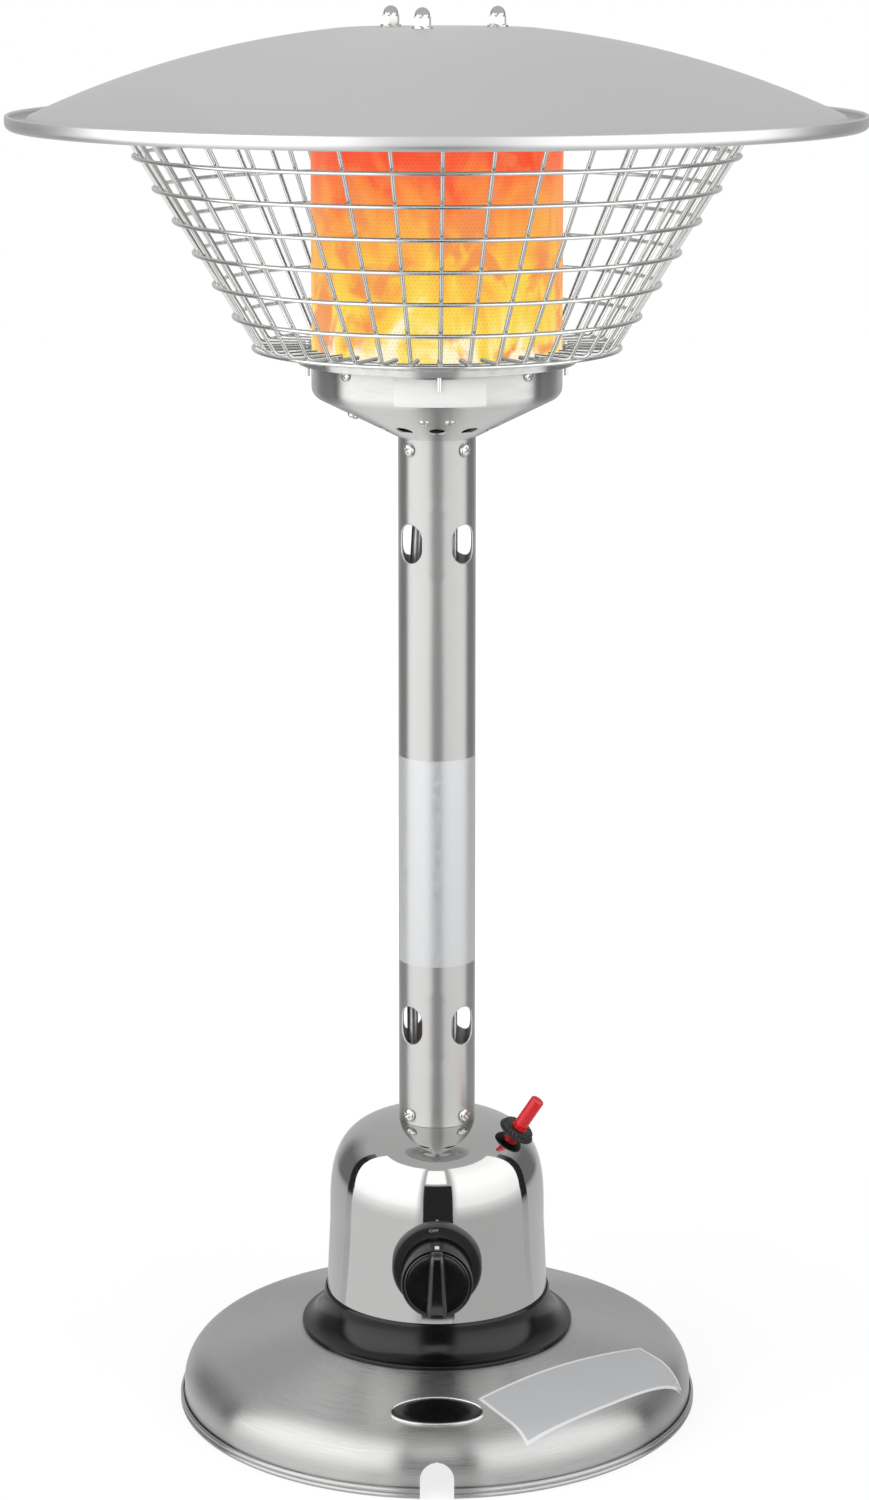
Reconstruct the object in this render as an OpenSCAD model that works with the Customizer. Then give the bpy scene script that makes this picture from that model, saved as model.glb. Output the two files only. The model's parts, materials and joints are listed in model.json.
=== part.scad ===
// Tabletop patio heater: a weighted base, a polished dome over the gas valve, a slotted post,
// a burner bowl, an emitter screen inside a wire guard, and a spun hood on three studs.
// Millimetres. +Z is up, the front with the control knob faces -Y, and the base stands on Z = 0.
// Angles round the axis are counted from the front towards +X.

/* [Sheet metal] */
// Thickness of the steel sheet of the base, dome, bowl and flange
sheet_t = 1.2; // [0.8:0.1:1.6]
// Thickness of the spun sheet of the hood
hood_t = 1; // [0.7:0.1:1.4]

/* [Base] */
// Diameter over the rolled rim
base_d = 336; // [320:2:360]
// Height of the flat seat that carries the dome
base_seat_h = 50; // [47:1:56]
// Diameter of the flat seat
base_seat_d = 180; // [178:1:186]
// Diameter of the open centre under the dome
base_opening_d = 116; // [106:1:120]
// Fall of the plate from the seat to the shoulder, in degrees
base_slope = 13; // [12:0.5:14]
// Radius of the shoulder between the plate and the skirt
base_shoulder_r = 25; // [18:1:28]
// Diameter of the rolled rim
rim_bead_d = 5; // [4:0.5:6]
// How far the rolled rim stands proud of the skirt
rim_proud = 1.6; // [1:0.1:2]
// Width of the hose notch in the front of the skirt
notch_w = 21; // [16:1:26]
// Height of the hose notch
notch_h = 22; // [20:0.5:24]

/* [Badge] */
// Width of the bare oval badge on the front of the base
badge_w = 60; // [50:1:66]
// Depth of the badge as seen from above
badge_l = 29; // [24:0.5:30]
// Thickness of the badge at its rim
badge_t = 1.5; // [1:0.1:2]

/* [Base weight] */
// Diameter of the weight under the plate
weight_d = 236; // [200:2:250]
// Bore of the weight
weight_bore_d = 124; // [122:1:130]
// Thickness of the weight
weight_t = 14; // [8:1:18]

/* [Dome] */
// Diameter where the wall turns into the shoulder
dome_d = 139.2; // [138:0.2:142]
// Lean of the wall, in degrees
dome_lean = 2.6; // [1.5:0.1:3]
// Height of the leaning wall
dome_wall_h = 71; // [68:1:76]
// Height of the rounded top above the wall
dome_top_h = 67.8; // [64:0.2:72]
// Squareness of the rounded top, 2 is an ellipse
dome_power = 3.5; // [3:0.1:4]
// Diameter of the foot flange under the collar
dome_foot_d = 168; // [166:1:170]
// Length of the neck inside the post
dome_neck_l = 24; // [18:1:30]

/* [Collar] */
// Diameter of the flared collar round the foot of the dome
collar_d = 176; // [175:0.5:178]
// Height of the collar
collar_h = 24.5; // [20:0.5:28]
// Thickness of its upper lip
collar_lip_t = 1.4; // [1:0.1:2]
// Height of its outer edge
collar_edge_h = 2.6; // [1.5:0.1:4]

/* [Post] */
// Outer diameter of the post
post_d = 49; // [48:0.5:51]
// Length of the post
post_l = 445; // [380:5:520]
// Wall of the post
post_t = 1.2; // [1:0.1:1.6]
// Width of the post slots
slot_w = 18.4; // [12:0.2:20]
// Length of the post slots
slot_l = 24.5; // [22:0.5:34]
// Distance of the slot centres from the ends of the post
slot_inset = 66; // [55:1:80]
// Distance of the screws from the ends of the post
post_screw_inset = 6.5; // [6:0.5:10]

/* [Burner bowl] */
// Diameter of the band
bowl_d = 157.4; // [154:0.2:162]
// Height from the post to the flange
bowl_h = 51.5; // [49:0.5:60]
// Slope of the funnel, in degrees
bowl_slope = 26.5; // [24:0.5:28]
// Radius of the bend between the band and the funnel
bowl_bend_r = 8; // [5:0.5:10]
// Length of the neck inside the post
bowl_neck_l = 30; // [20:1:40]
// Number of air holes in the funnel
vent_n = 12; // [8:1:14]
// Diameter of the air holes
vent_d = 10; // [6:0.5:11]
// Radius of the circle of air holes
vent_r = 40.5; // [38:0.5:43]

/* [Flange] */
// How far the flange stands out beyond the band of the bowl
flange_w = 8.9; // [8.4:0.1:11]
// Depth of its turned-down edge
flange_lip_h = 5.5; // [4:0.5:8]
// Gap between the ring of the flange and the bend of the bowl
flange_bend_gap = 2.5; // [1.5:0.1:4]
// Length of the ring above the plate of the flange
flange_rise = 5.6; // [4:0.2:8]

/* [Emitter] */
// How far the emitter screen stands in from the band of the bowl
emitter_inset = 0.2; // [0:0.1:1.5]
// Height of the emitter screen
emitter_h = 151.5; // [140:0.5:160]
// Wall of the emitter screen
emitter_t = 1; // [0.8:0.1:1.2]

/* [Guard] */
// Diameter of the guard wire
wire_d = 3; // [2.4:0.1:3.2]
// Number of upright wires
wire_n = 40; // [32:4:44]
// Turn of the first upright wire from the front, in degrees
wire_turn = 1; // [0:0.5:4]
// Distance of the lowest ring from the band of the bowl
guard_low_w = 36.1; // [34:0.1:41]
// How far the top ring stands out from the lowest ring
guard_flare = 85.2; // [76:0.2:90]
// Height from the lowest ring to the top ring
guard_h = 139.6; // [130:0.2:142]
// Number of rings up the side
ring_n = 8; // [6:1:10]
// Radius of the bend at the foot of an upright wire
wire_bend_r = 6; // [5:0.5:10]
// Distance of the four locating pins from the band of the bowl
pin_w = 2.3; // [1.9:0.1:2.5]
// Length of a pin below the flange
pin_l = 9; // [5:0.5:12]

/* [Hood] */
// Diameter over the rolled rim
hood_d = 533; // [500:1:560]
// Radius of the sphere of the hood
hood_sphere_r = 594; // [570:2:640]
// Diameter of the flat top
hood_flat_d = 116; // [104:1:130]
// Width of the gutter inside the rim
gutter_w = 11; // [9:0.5:14]
// Depth of the drop from the sphere to the gutter
gutter_drop = 8; // [6:0.5:10]
// Height of the upturned lip
lip_h = 7; // [6:0.5:9]
// Diameter of the roll on the lip
lip_roll_d = 2.6; // [2.2:0.1:3]
// Gap between the emitter cap and the hood
hood_gap = 48; // [40:1:60]

/* [Hood studs] */
// Diameter of the studs
stud_d = 6; // [5:0.5:8]
// Radius of the circle of studs
stud_r = 39.4; // [34:0.2:44]
// Turn of the stud pattern from the front, in degrees
stud_turn = 107; // [90:1:120]

/* [Burner] */
// Distance from the rim of the burner head to the middle of the pilot group
burner_gap = 8; // [7:0.5:16]
// Height of the burner head
burner_h = 13; // [10:0.5:18]
// Number of flame ports
port_n = 24; // [12:1:30]
// Outer diameter of the mixing tube
mixer_d = 26; // [24:0.5:28]

/* [Gas valve] */
// Height of the knob axis above the base seat
knob_axis_h = 63; // [60:0.5:66]
// Width and height of the valve body
valve_w = 40; // [40:0.5:42]
// Depth of the valve body
valve_l = 42; // [40:1:44]
// Bore of the valve
valve_bore_d = 12; // [11:0.1:12.5]
// Diameter of the stem
stem_d = 6; // [5:0.1:7]
// Travel of the stem when it is pushed
push_travel = 4; // [2:0.5:4.5]
// Diameter of the inlet thread
inlet_d = 15.9; // [12:0.1:17]
// Length of the inlet thread
inlet_l = 18; // [14:0.5:20]

/* [Control knob] */
// Diameter of the knob
knob_d = 45; // [44:0.5:48]
// Depth of the knob without its grip
knob_l = 23; // [20:0.5:26]
// Height of the grip above the face
grip_h = 7; // [4:0.5:10]
// Width of the grip at its wide end
grip_w = 13; // [10:0.5:16]
// Width of the grip at its pointer end
grip_tip_w = 6; // [4:0.5:8]
// Diameter of the bezel behind the knob
bezel_d = 56.8; // [54:0.2:60]
// Thickness of the bezel at its middle
bezel_t = 4.6; // [4.2:0.1:6]

/* [Igniter] */
// Distance of the igniter from the axis of the heater
igniter_r = 52; // [50:0.5:53]
// Turn of the igniter from the front, in degrees
igniter_turn = 70; // [65:1:90]
// Diameter of the threaded barrel
barrel_d = 11; // [10.5:0.1:12]
// Diameter of the button
button_d = 9; // [8:0.1:9.4]
// Height of the button top above the dome
button_h = 31; // [29:0.5:34]
// Travel of the button
button_travel = 8; // [4:0.5:9]
// Diameter of the collar nut
nut_d = 24; // [20:0.5:25]
// Thickness of the collar nut
nut_t = 5; // [3:0.5:6]
// Height of the middle of the collar nut above the dome
nut_h = 6; // [5.5:0.1:7]

/* [Hidden] */
$fn = 96;

// Clearances: between nested fixed parts, round a screw, and of sliding and turning parts
nest = 0.15;
screw_gap = 0.1;
run = 0.05;
// Gap that lets one curved face lie on another
touch = 0.05;
// Reach of a hole to each side of the sheet that it goes through
cut_l = 8;

// Heights of the main seats, from the base up
foot_z = base_seat_h + sheet_t;
shoulder_z = base_seat_h + dome_wall_h;
neck_r = post_d / 2 - post_t - nest;
post_low = dome_top_z(neck_r) + touch;
post_top = post_low + post_l;
flange_z = post_top + bowl_h;
flange_top = flange_z + sheet_t;
emitter_top = flange_top + emitter_h;
cap_top = emitter_top + sheet_t;
hood_low = cap_top + hood_gap;
hood_top = hood_low + hood_t;

// Fasteners: diameters of shanks and heads
post_screw_d = 5;
small_screw_d = 4;
head_ratio = 1.75;
head_height_ratio = 0.5;
foot_bolt_r = 77.6;
foot_bolt_n = 4;
foot_bolt_d = 4.5;
foot_head_h = 1.8;
nut_ratio = 1.6;
nut_height_ratio = 0.8;
washer_ratio = 2.2;
washer_t = 1.2;

// Points along an arc, from one angle to another
function arc(c, r, a0, a1, n) = [for (i = [0:n]) let (a = a0 + (a1 - a0) * i / n) c + r * [cos(a), sin(a)]];
function unit(v) = v / norm(v);
function heading(p, i) = unit(p[min(i + 1, len(p) - 1)] - p[max(i - 1, 0)]);
// A path moved sideways, to the right of its direction
function beside(p, t) = [for (i = [0:len(p) - 1]) let (d = heading(p, i)) p[i] + t * [d[1], -d[0]]];
function backwards(p) = [for (i = [len(p) - 1:-1:0]) p[i]];
// The outline of a sheet of thickness t whose outer face follows a path
function sheet(p, t) = concat(p, backwards(beside(p, t)));
// Corners of a path cut n times, which rounds it and keeps its ends
function rounded(p, n) = n == 0 ? p : rounded(concat([p[0]],
    [for (i = [0:len(p) - 2]) each [0.75 * p[i] + 0.25 * p[i + 1], 0.25 * p[i] + 0.75 * p[i + 1]]],
    [p[len(p) - 1]]), n - 1);

// Height and slope of the rounded top of the dome at radius r
function dome_share(r) = 1 - pow(r / (dome_d / 2), dome_power);
function dome_top_z(r) = base_seat_h + dome_wall_h + dome_top_h * pow(dome_share(r), 1 / dome_power);
function dome_tilt(r) = atan(dome_top_h / (dome_d / 2) * pow(r / (dome_d / 2), dome_power - 1)
    * pow(dome_share(r), 1 / dome_power - 1));
// Radius of the leaning wall of the dome at height z
function dome_wall_r(z) = dome_d / 2 + (shoulder_z - z) * tan(dome_lean);

// Moves to a place on a round wall, with +Z pointing outwards
module on_wall(turn, r, z) rotate([0, 0, turn]) translate([0, -r, z]) rotate([90, 0, 0]) children();

// A pan-head screw: the head stands on Z = 0 and the shank hangs below it
module pan_screw(d, l) {
    r = d * head_ratio / 2;
    h = d * head_height_ratio;
    edge_h = 0.3 * h;
    rotate_extrude() polygon(concat([[0, 0], [r, 0], [r, edge_h]],
        arc([0.55 * r, edge_h], 0.45 * r, 20, 70, 3), [[0.3 * r, h], [0, h]]));
    translate([0, 0, -l]) cylinder(d = d, h = l);
}

module hex_nut(d) {
    difference() {
        cylinder(d = d * nut_ratio / cos(30), h = d * nut_height_ratio, $fn = 6);
        translate([0, 0, -1]) cylinder(d = d + 2 * run, h = d * nut_height_ratio + 2);
    }
}

// A hole through a sheet that lies at Z = 0
module drill(d) translate([0, 0, -cut_l]) cylinder(d = d, h = 2 * cut_l);

// A section of a ring, for turning round the axis
module ring(r_in, r_out, z0, z1) translate([r_in, z0]) square([r_out - r_in, z1 - z0]);

// A round tube along a route, with its corners rounded
module tube(route, d) {
    sides = 8;
    p = rounded(route, 2);
    last = (len(p) - 1) * sides;
    points = [for (i = [0:len(p) - 1])
        let (t = heading(p, i), v = unit(cross(t, [1, 0, 0])), u = cross(v, t))
        for (k = [0:sides - 1]) p[i] + d / 2 * (cos(360 * k / sides) * u + sin(360 * k / sides) * v)];
    walls = [for (i = [0:len(p) - 2]) for (k = [0:sides - 1])
        let (a = i * sides + k, b = i * sides + (k + 1) % sides)
        each [[a, a + sides, b + sides], [a, b + sides, b]]];
    ends = [[for (k = [0:sides - 1]) k], [for (k = [sides - 1:-1:0]) last + k]];
    polyhedron(points, concat(walls, ends));
}

// Base: plate, rolled rim and hose notch in one pressing
rim_r = rim_bead_d / 2;
rim_flat = 0.3;
skirt_r = base_d / 2 - rim_proud;
seat_r = base_seat_d / 2;
shoulder_c = [skirt_r - base_shoulder_r, base_seat_h - (base_shoulder_r
    + (skirt_r - base_shoulder_r - seat_r) * sin(base_slope)) / cos(base_slope)];
groove_z = rim_bead_d + 2.6;
groove_w = 0.8;
base_path = concat([[base_opening_d / 2, base_seat_h], [seat_r, base_seat_h]],
    arc(shoulder_c, base_shoulder_r, 90 - base_slope, 0, 10),
    [[skirt_r, groove_z + groove_w], [skirt_r - groove_w, groove_z], [skirt_r - groove_w, rim_bead_d]]);
// The rolled rim meets the two faces of the skirt at these angles, and is flat where it stands
rim_c = [base_d / 2 - rim_r, rim_r - rim_flat];
function rim_angle(r) = acos((r - rim_c[0]) / rim_r);
rim_roll = [for (p = arc(rim_c, rim_r, rim_angle(skirt_r - groove_w),
    rim_angle(skirt_r - groove_w - sheet_t) - 360, 20)) [p[0], max(p[1], 0)]];

module hose_notch() {
    translate([0, -shoulder_c[0], 0]) rotate([90, 0, 0]) linear_extrude(base_d) {
        translate([-notch_w / 2, -1]) square([notch_w, notch_h - notch_w / 2 + 1]);
        translate([0, notch_h - notch_w / 2]) circle(d = notch_w);
    }
}

module foot_bolt_places() for (i = [0:foot_bolt_n - 1])
    rotate([0, 0, 45 + 360 * i / foot_bolt_n]) translate([0, -foot_bolt_r, 0]) children();

module foot_bolt_holes() foot_bolt_places() cylinder(d = foot_bolt_d + 2 * screw_gap, h = 2 * base_seat_h);

module base_plate() color("lightgray") difference() {
    rotate_extrude($fn = 180) polygon(concat(base_path, rim_roll, backwards(beside(base_path, sheet_t))));
    hose_notch();
    foot_bolt_holes();
}

// Badge: a bare oval plate with a raised rim, bent to the slope of the base
badge_in = 11.4;
badge_r = shoulder_c[0] - badge_in;
badge_rim_w = 2;
badge_sink = 0.4;
badge_sides = 72;
// A strip along the slope, between two distances square to it
function slope_strip(low, high) = [for (p = [[-1, low], [1, low], [1, high], [-1, high]])
    let (r = badge_r + p[0] * badge_l)
    [r, base_seat_h - (r - seat_r) * tan(base_slope) + p[1] / cos(base_slope)]];

module badge_blank(inset, low, high) intersection() {
    translate([0, -badge_r, 0]) linear_extrude(base_seat_h) polygon([for (i = [0:badge_sides - 1])
        let (a = 360 * i / badge_sides) [(badge_w / 2 - inset) * cos(a), (badge_l / 2 - inset) * sin(a)]]);
    rotate_extrude($fn = 180) polygon(slope_strip(low, high));
}

module base_badge() color("#181818") difference() {
    badge_blank(0, touch, touch + badge_t);
    badge_blank(badge_rim_w, touch + badge_t - badge_sink, touch + 2 * badge_t);
}

weight_top = base_seat_h - sheet_t;
weight_chamfer = (weight_d / 2 - seat_r + sheet_t + 1) * tan(base_slope);
module base_weight() color("dimgray") difference() {
    rotate_extrude() polygon([[weight_bore_d / 2, weight_top - weight_t], [weight_bore_d / 2, weight_top],
        [seat_r - sheet_t - 1, weight_top], [weight_d / 2, weight_top - weight_chamfer],
        [weight_d / 2, weight_top - weight_t]]);
    foot_bolt_holes();
}

foot_nut_h = foot_bolt_d * nut_height_ratio;
foot_nut_z = weight_top - weight_t - foot_nut_h;
module foot_bolts() color("gray") foot_bolt_places() {
    translate([0, 0, foot_z]) cylinder(d = foot_bolt_d * head_ratio, h = foot_head_h);
    translate([0, 0, foot_nut_z - 1]) cylinder(d = foot_bolt_d, h = foot_z - foot_nut_z + 1);
}

module foot_nuts() color("gray") foot_bolt_places() translate([0, 0, foot_nut_z]) hex_nut(foot_bolt_d);

// Dome: neck, rounded top, leaning wall and foot flange in one drawn shell
dome_end = acos(pow(neck_r / (dome_d / 2), dome_power / 2));
dome_path = concat([[neck_r, post_low + dome_neck_l]],
    [for (i = [20:-1:0]) let (a = dome_end * i / 20)
        [dome_d / 2 * pow(cos(a), 2 / dome_power), shoulder_z + dome_top_h * pow(sin(a), 2 / dome_power)]],
    [[dome_wall_r(foot_z), foot_z], [dome_foot_d / 2, foot_z]]);
knob_z = base_seat_h + knob_axis_h;
boss_d = 16;
boss_gap = 1;
bezel_screw_x = 16;
igniter_tilt = dome_tilt(igniter_r);

module at_knob(y) translate([0, y, knob_z]) rotate([90, 0, 0]) children();
module at_igniter() rotate([0, 0, igniter_turn]) translate([0, -igniter_r, dome_top_z(igniter_r)])
    rotate([igniter_tilt, 0, 0]) children();
module both_sides(x) for (s = [-1, 1]) translate([s * x, 0, 0]) children();

module post_screw_places(z) for (i = [0:3]) on_wall(45 + 90 * i, post_d / 2 + touch, z) children();
module post_screw_holes(z) post_screw_places(z) translate([0, 0, -post_d / 4])
    cylinder(d = post_screw_d + 2 * screw_gap, h = post_d / 2);

module dome_cover() color("gainsboro") difference() {
    rotate_extrude($fn = 180) polygon(sheet(dome_path, sheet_t));
    at_knob(-dome_d / 4) cylinder(d = boss_d + 2 * boss_gap, h = dome_d / 2);
    at_knob(-dome_d / 4) both_sides(bezel_screw_x)
        cylinder(d = small_screw_d + 2 * screw_gap, h = dome_d / 2);
    at_igniter() drill(barrel_d + 2 * screw_gap);
    post_screw_holes(post_low + post_screw_inset);
    foot_bolt_holes();
}

// Collar: a soft ring with a hollow flare, relieved inside for the foot flange and its bolt heads
collar_top = base_seat_h + collar_h;
collar_relief_z = foot_z + foot_head_h + 0.5;
collar_relief_r = foot_bolt_r + foot_bolt_d * head_ratio / 2 + 0.5;
collar_lip_r = dome_wall_r(collar_top) + nest;
collar_edge_r = dome_foot_d / 2 + 0.6;
collar_c = [collar_d / 2, collar_top];
collar_flare = [collar_d / 2 - collar_lip_r - collar_lip_t, collar_h - collar_edge_h];
module collar_ring() color("#202020") rotate_extrude($fn = 180) polygon(concat(
    [for (i = [0:10]) collar_c - [collar_flare[0] * cos(9 * i), collar_flare[1] * sin(9 * i)]],
    [[collar_d / 2, base_seat_h], [collar_edge_r, base_seat_h], [collar_edge_r, foot_z + nest],
    [collar_relief_r, collar_relief_z], [dome_wall_r(collar_relief_z) + nest, collar_relief_z],
    [collar_lip_r, collar_top]]));

// Post: a plain tube with two rows of four slots
module post_slots(z) for (i = [0:3]) on_wall(45 + 90 * i, 0, z) linear_extrude(post_d) {
    for (s = [-1, 1]) translate([0, s * (slot_l - slot_w) / 2]) circle(d = slot_w);
    translate([-slot_w / 2, -(slot_l - slot_w) / 2]) square([slot_w, slot_l - slot_w]);
}

module post_tube() color("silver") difference() {
    translate([0, 0, post_low]) cylinder(d = post_d, h = post_l);
    translate([0, 0, post_low - 1]) cylinder(d = post_d - 2 * post_t, h = post_l + 2);
    post_slots(post_low + slot_inset);
    post_slots(post_top - slot_inset);
    post_screw_holes(post_low + post_screw_inset);
    post_screw_holes(post_top - post_screw_inset);
}

post_screw_l = 5;
module lower_post_screws() color("gainsboro") post_screw_places(post_low + post_screw_inset)
    pan_screw(post_screw_d, post_screw_l);
module upper_post_screws() color("gainsboro") post_screw_places(post_top - post_screw_inset)
    pan_screw(post_screw_d, post_screw_l);

// Burner bowl: band, funnel and neck in one drawn shell
bowl_bend_c = [bowl_d / 2 - bowl_bend_r, post_top + (bowl_bend_r
    + (bowl_d / 2 - bowl_bend_r - post_d / 2) * sin(bowl_slope)) / cos(bowl_slope)];
bowl_path = concat([[bowl_d / 2, flange_z]], arc(bowl_bend_c, bowl_bend_r, 0, bowl_slope - 90, 6),
    [[post_d / 2, post_top], [neck_r, post_top], [neck_r, post_top - bowl_neck_l]]);
band_screw_drop = 6.8;
band_screw_z = flange_z - band_screw_drop;
funnel_screw_in = 21.7;
funnel_screw_r = bowl_d / 2 - funnel_screw_in;
funnel_screw_turns = [-8, 8, -66];

// Moves to the outer face of the funnel at radius r, with +Z square to it
module on_funnel(turn, r) rotate([0, 0, turn])
    translate([0, -r, post_top + (r - post_d / 2) * tan(bowl_slope)])
    rotate([180 - bowl_slope, 0, 0]) children();
module band_screw_places() for (i = [0:3]) on_wall(45 + 90 * i, bowl_d / 2 + touch, band_screw_z) children();
module funnel_screw_places() for (a = funnel_screw_turns) on_funnel(a, funnel_screw_r) children();

module burner_bowl() color("silver") difference() {
    rotate_extrude($fn = 180) polygon(sheet(bowl_path, sheet_t));
    for (i = [0:vent_n - 1]) on_funnel(360 * i / vent_n, vent_r) drill(vent_d);
    band_screw_places() drill(small_screw_d + 2 * screw_gap);
    funnel_screw_places() drill(small_screw_d + 2 * screw_gap);
    post_screw_holes(post_top - post_screw_inset);
}

band_screw_l = 7;
funnel_screw_l = 6;
module band_screws() color("gainsboro") band_screw_places() pan_screw(small_screw_d, band_screw_l);
module funnel_screws() color("gainsboro") funnel_screw_places() pan_screw(small_screw_d, funnel_screw_l);

// Flange: a plate with a turned-down edge, and a ring that nests in the bowl and in the emitter
flange_r = bowl_d / 2 + flange_w;
emitter_r = bowl_d / 2 - emitter_inset;
pin_r = bowl_d / 2 + pin_w;
flange_ring_r = min(bowl_d / 2 - sheet_t, emitter_r - emitter_t) - nest;
flange_low = bowl_bend_c[1] + flange_bend_gap;
ledge_w = 6;
pin_gap = 0.2;
module pin_places() for (i = [0:3]) rotate([0, 0, wire_turn + 90 * i]) translate([0, -pin_r, 0]) children();

module burner_flange() color("silver") difference() {
    rotate_extrude($fn = 180) union() {
        ring(flange_ring_r - sheet_t, flange_r, flange_z, flange_top);
        ring(flange_r - sheet_t, flange_r, flange_top - flange_lip_h, flange_top);
        ring(flange_ring_r - sheet_t, flange_ring_r, flange_low, flange_top + flange_rise);
        ring(flange_ring_r - ledge_w, flange_ring_r, flange_low, flange_low + sheet_t);
    }
    pin_places() translate([0, 0, flange_low])
        cylinder(d = wire_d + 2 * pin_gap, h = 2 * (flange_z - flange_low));
    band_screw_places() drill(small_screw_d + 2 * screw_gap);
}

// Emitter: a straight screen that stands on the flange, closed by a cap
module emitter_screen() color("orangered") rotate_extrude($fn = 180)
    ring(emitter_r - emitter_t, emitter_r, flange_top, emitter_top);

cap_lip_h = 6;
cap_lip_r = emitter_r - emitter_t - nest;
module stud_places() for (i = [0:2]) rotate([0, 0, stud_turn + 120 * i])
    translate([0, -stud_r, 0]) children();

module emitter_cap() color("dimgray") difference() {
    rotate_extrude($fn = 180) union() {
        ring(0, emitter_r, emitter_top, cap_top);
        ring(cap_lip_r - sheet_t, cap_lip_r, emitter_top - cap_lip_h, cap_top);
    }
    stud_places() translate([0, 0, emitter_top]) drill(stud_d + 2 * screw_gap);
}

// Guard: upright wires welded inside a stack of rings, with four long ends bent down as pins
wire_step = wire_d + touch;
guard_low_r = bowl_d / 2 + guard_low_w;
guard_lean = atan(guard_flare / guard_h);
inner_ring_r = pin_r + wire_d + 1.2;
inner_ring_z = flange_top + wire_d / 2 + touch;
floor_z = inner_ring_z + wire_step;
guard_low_z = floor_z - 0.8;
wire_foot = [guard_low_r, guard_low_z] + wire_step * [-cos(guard_lean), sin(guard_lean)];
wire_corner_r = wire_foot[0] + (floor_z - wire_foot[1]) * tan(guard_lean);
wire_turn_up = 90 - guard_lean;
bend_start_r = wire_corner_r - wire_bend_r * tan(wire_turn_up / 2);
wire_end_gap = 3;
upright_l = (guard_h + wire_end_gap) / cos(guard_lean) - wire_bend_r * tan(wire_turn_up / 2);
pin_bend_r = 3;
pin_low = flange_top - flange_lip_h - pin_l;
bend_swell = 0.06;
bend_lap = 0.2;

module rod(l) cylinder(d = wire_d, h = l, $fn = 24);
// A bend that starts at an angle and turns counter-clockwise in the XZ plane; the wire swells a little there
module bend(r, start, turn) rotate([90, 0, 0]) rotate([0, 0, start]) rotate_extrude(angle = turn, $fn = 48)
    translate([r, 0]) circle(d = wire_d + bend_swell, $fn = 24);

module upright(inner_r) {
    translate([inner_r, 0, floor_z]) rotate([0, 90, 0]) rod(bend_start_r - inner_r + bend_lap);
    translate([bend_start_r, 0, floor_z + wire_bend_r]) bend(wire_bend_r, -90, wire_turn_up);
    translate([bend_start_r, 0, floor_z] + wire_bend_r * [sin(wire_turn_up), 0, 1 - cos(wire_turn_up)])
        rotate([0, guard_lean, 0]) translate([0, 0, -bend_lap]) rod(upright_l + bend_lap);
}

module pin() {
    translate([pin_r + pin_bend_r, 0, floor_z - pin_bend_r]) bend(pin_bend_r, 90, 90);
    translate([pin_r, 0, pin_low]) rod(floor_z - pin_bend_r + bend_lap - pin_low);
}

module guard_wires() color("silver") for (i = [0:wire_n - 1])
    rotate([0, 0, wire_turn + 360 * i / wire_n - 90]) {
    has_pin = i % (wire_n / 4) == 0;
    upright(has_pin ? pin_r + pin_bend_r - bend_lap : inner_ring_r - wire_d / 2);
    if (has_pin) pin();
}

module guard_ring(r, z) translate([0, 0, z]) rotate_extrude($fn = 180) translate([r, 0])
    circle(d = wire_d, $fn = 24);

module guard_rings() color("silver") {
    guard_ring(inner_ring_r, inner_ring_z);
    for (i = [0:ring_n - 1]) guard_ring(guard_low_r + guard_flare * i / (ring_n - 1),
        guard_low_z + guard_h * i / (ring_n - 1));
}

// Hood: flat top, spherical cap, gutter and rolled lip in one spinning, held on three studs
acorn_hex_h = 7;
acorn_dome_r = stud_d * nut_ratio / 2;
hood_sphere_z = hood_top - sqrt(pow(hood_sphere_r, 2) - pow(hood_flat_d / 2, 2));
lip_r = hood_d / 2 - hood_t;
lip_bend_r = 3.5;
gutter_r = lip_r - gutter_w;
function hood_angle(r) = asin(r / hood_sphere_r);
gutter_z = hood_sphere_z + hood_sphere_r * cos(hood_angle(gutter_r - gutter_drop / 2)) - gutter_drop;
hood_path = concat([[0, hood_top]],
    [for (a = hood_arc()) hood_sphere_r * [sin(a), cos(a)] + [0, hood_sphere_z]],
    [[gutter_r, gutter_z + gutter_drop * 0.12], [gutter_r + 1.5, gutter_z]],
    arc([lip_r - lip_bend_r, gutter_z + lip_bend_r], lip_bend_r, -90, 0, 4),
    [[lip_r, gutter_z + lip_h - lip_roll_d]]);
// The roll starts on the inner face of the lip and ends on its outer face
lip_roll = arc([hood_d / 2 - lip_roll_d / 2, gutter_z + lip_h], lip_roll_d / 2,
    -acos(1 - 2 * hood_t / lip_roll_d), -360, 14);
function hood_arc() = let (a0 = hood_angle(hood_flat_d / 2), a1 = hood_angle(gutter_r - gutter_drop / 2))
    [for (i = [0:14]) a0 + (a1 - a0) * i / 14];

module reflector_hood() color("lightgray") difference() {
    rotate_extrude($fn = 240) polygon(concat(hood_path, lip_roll, backwards(beside(hood_path, hood_t))));
    stud_places() translate([0, 0, hood_low]) drill(stud_d + 2 * screw_gap);
}

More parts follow.
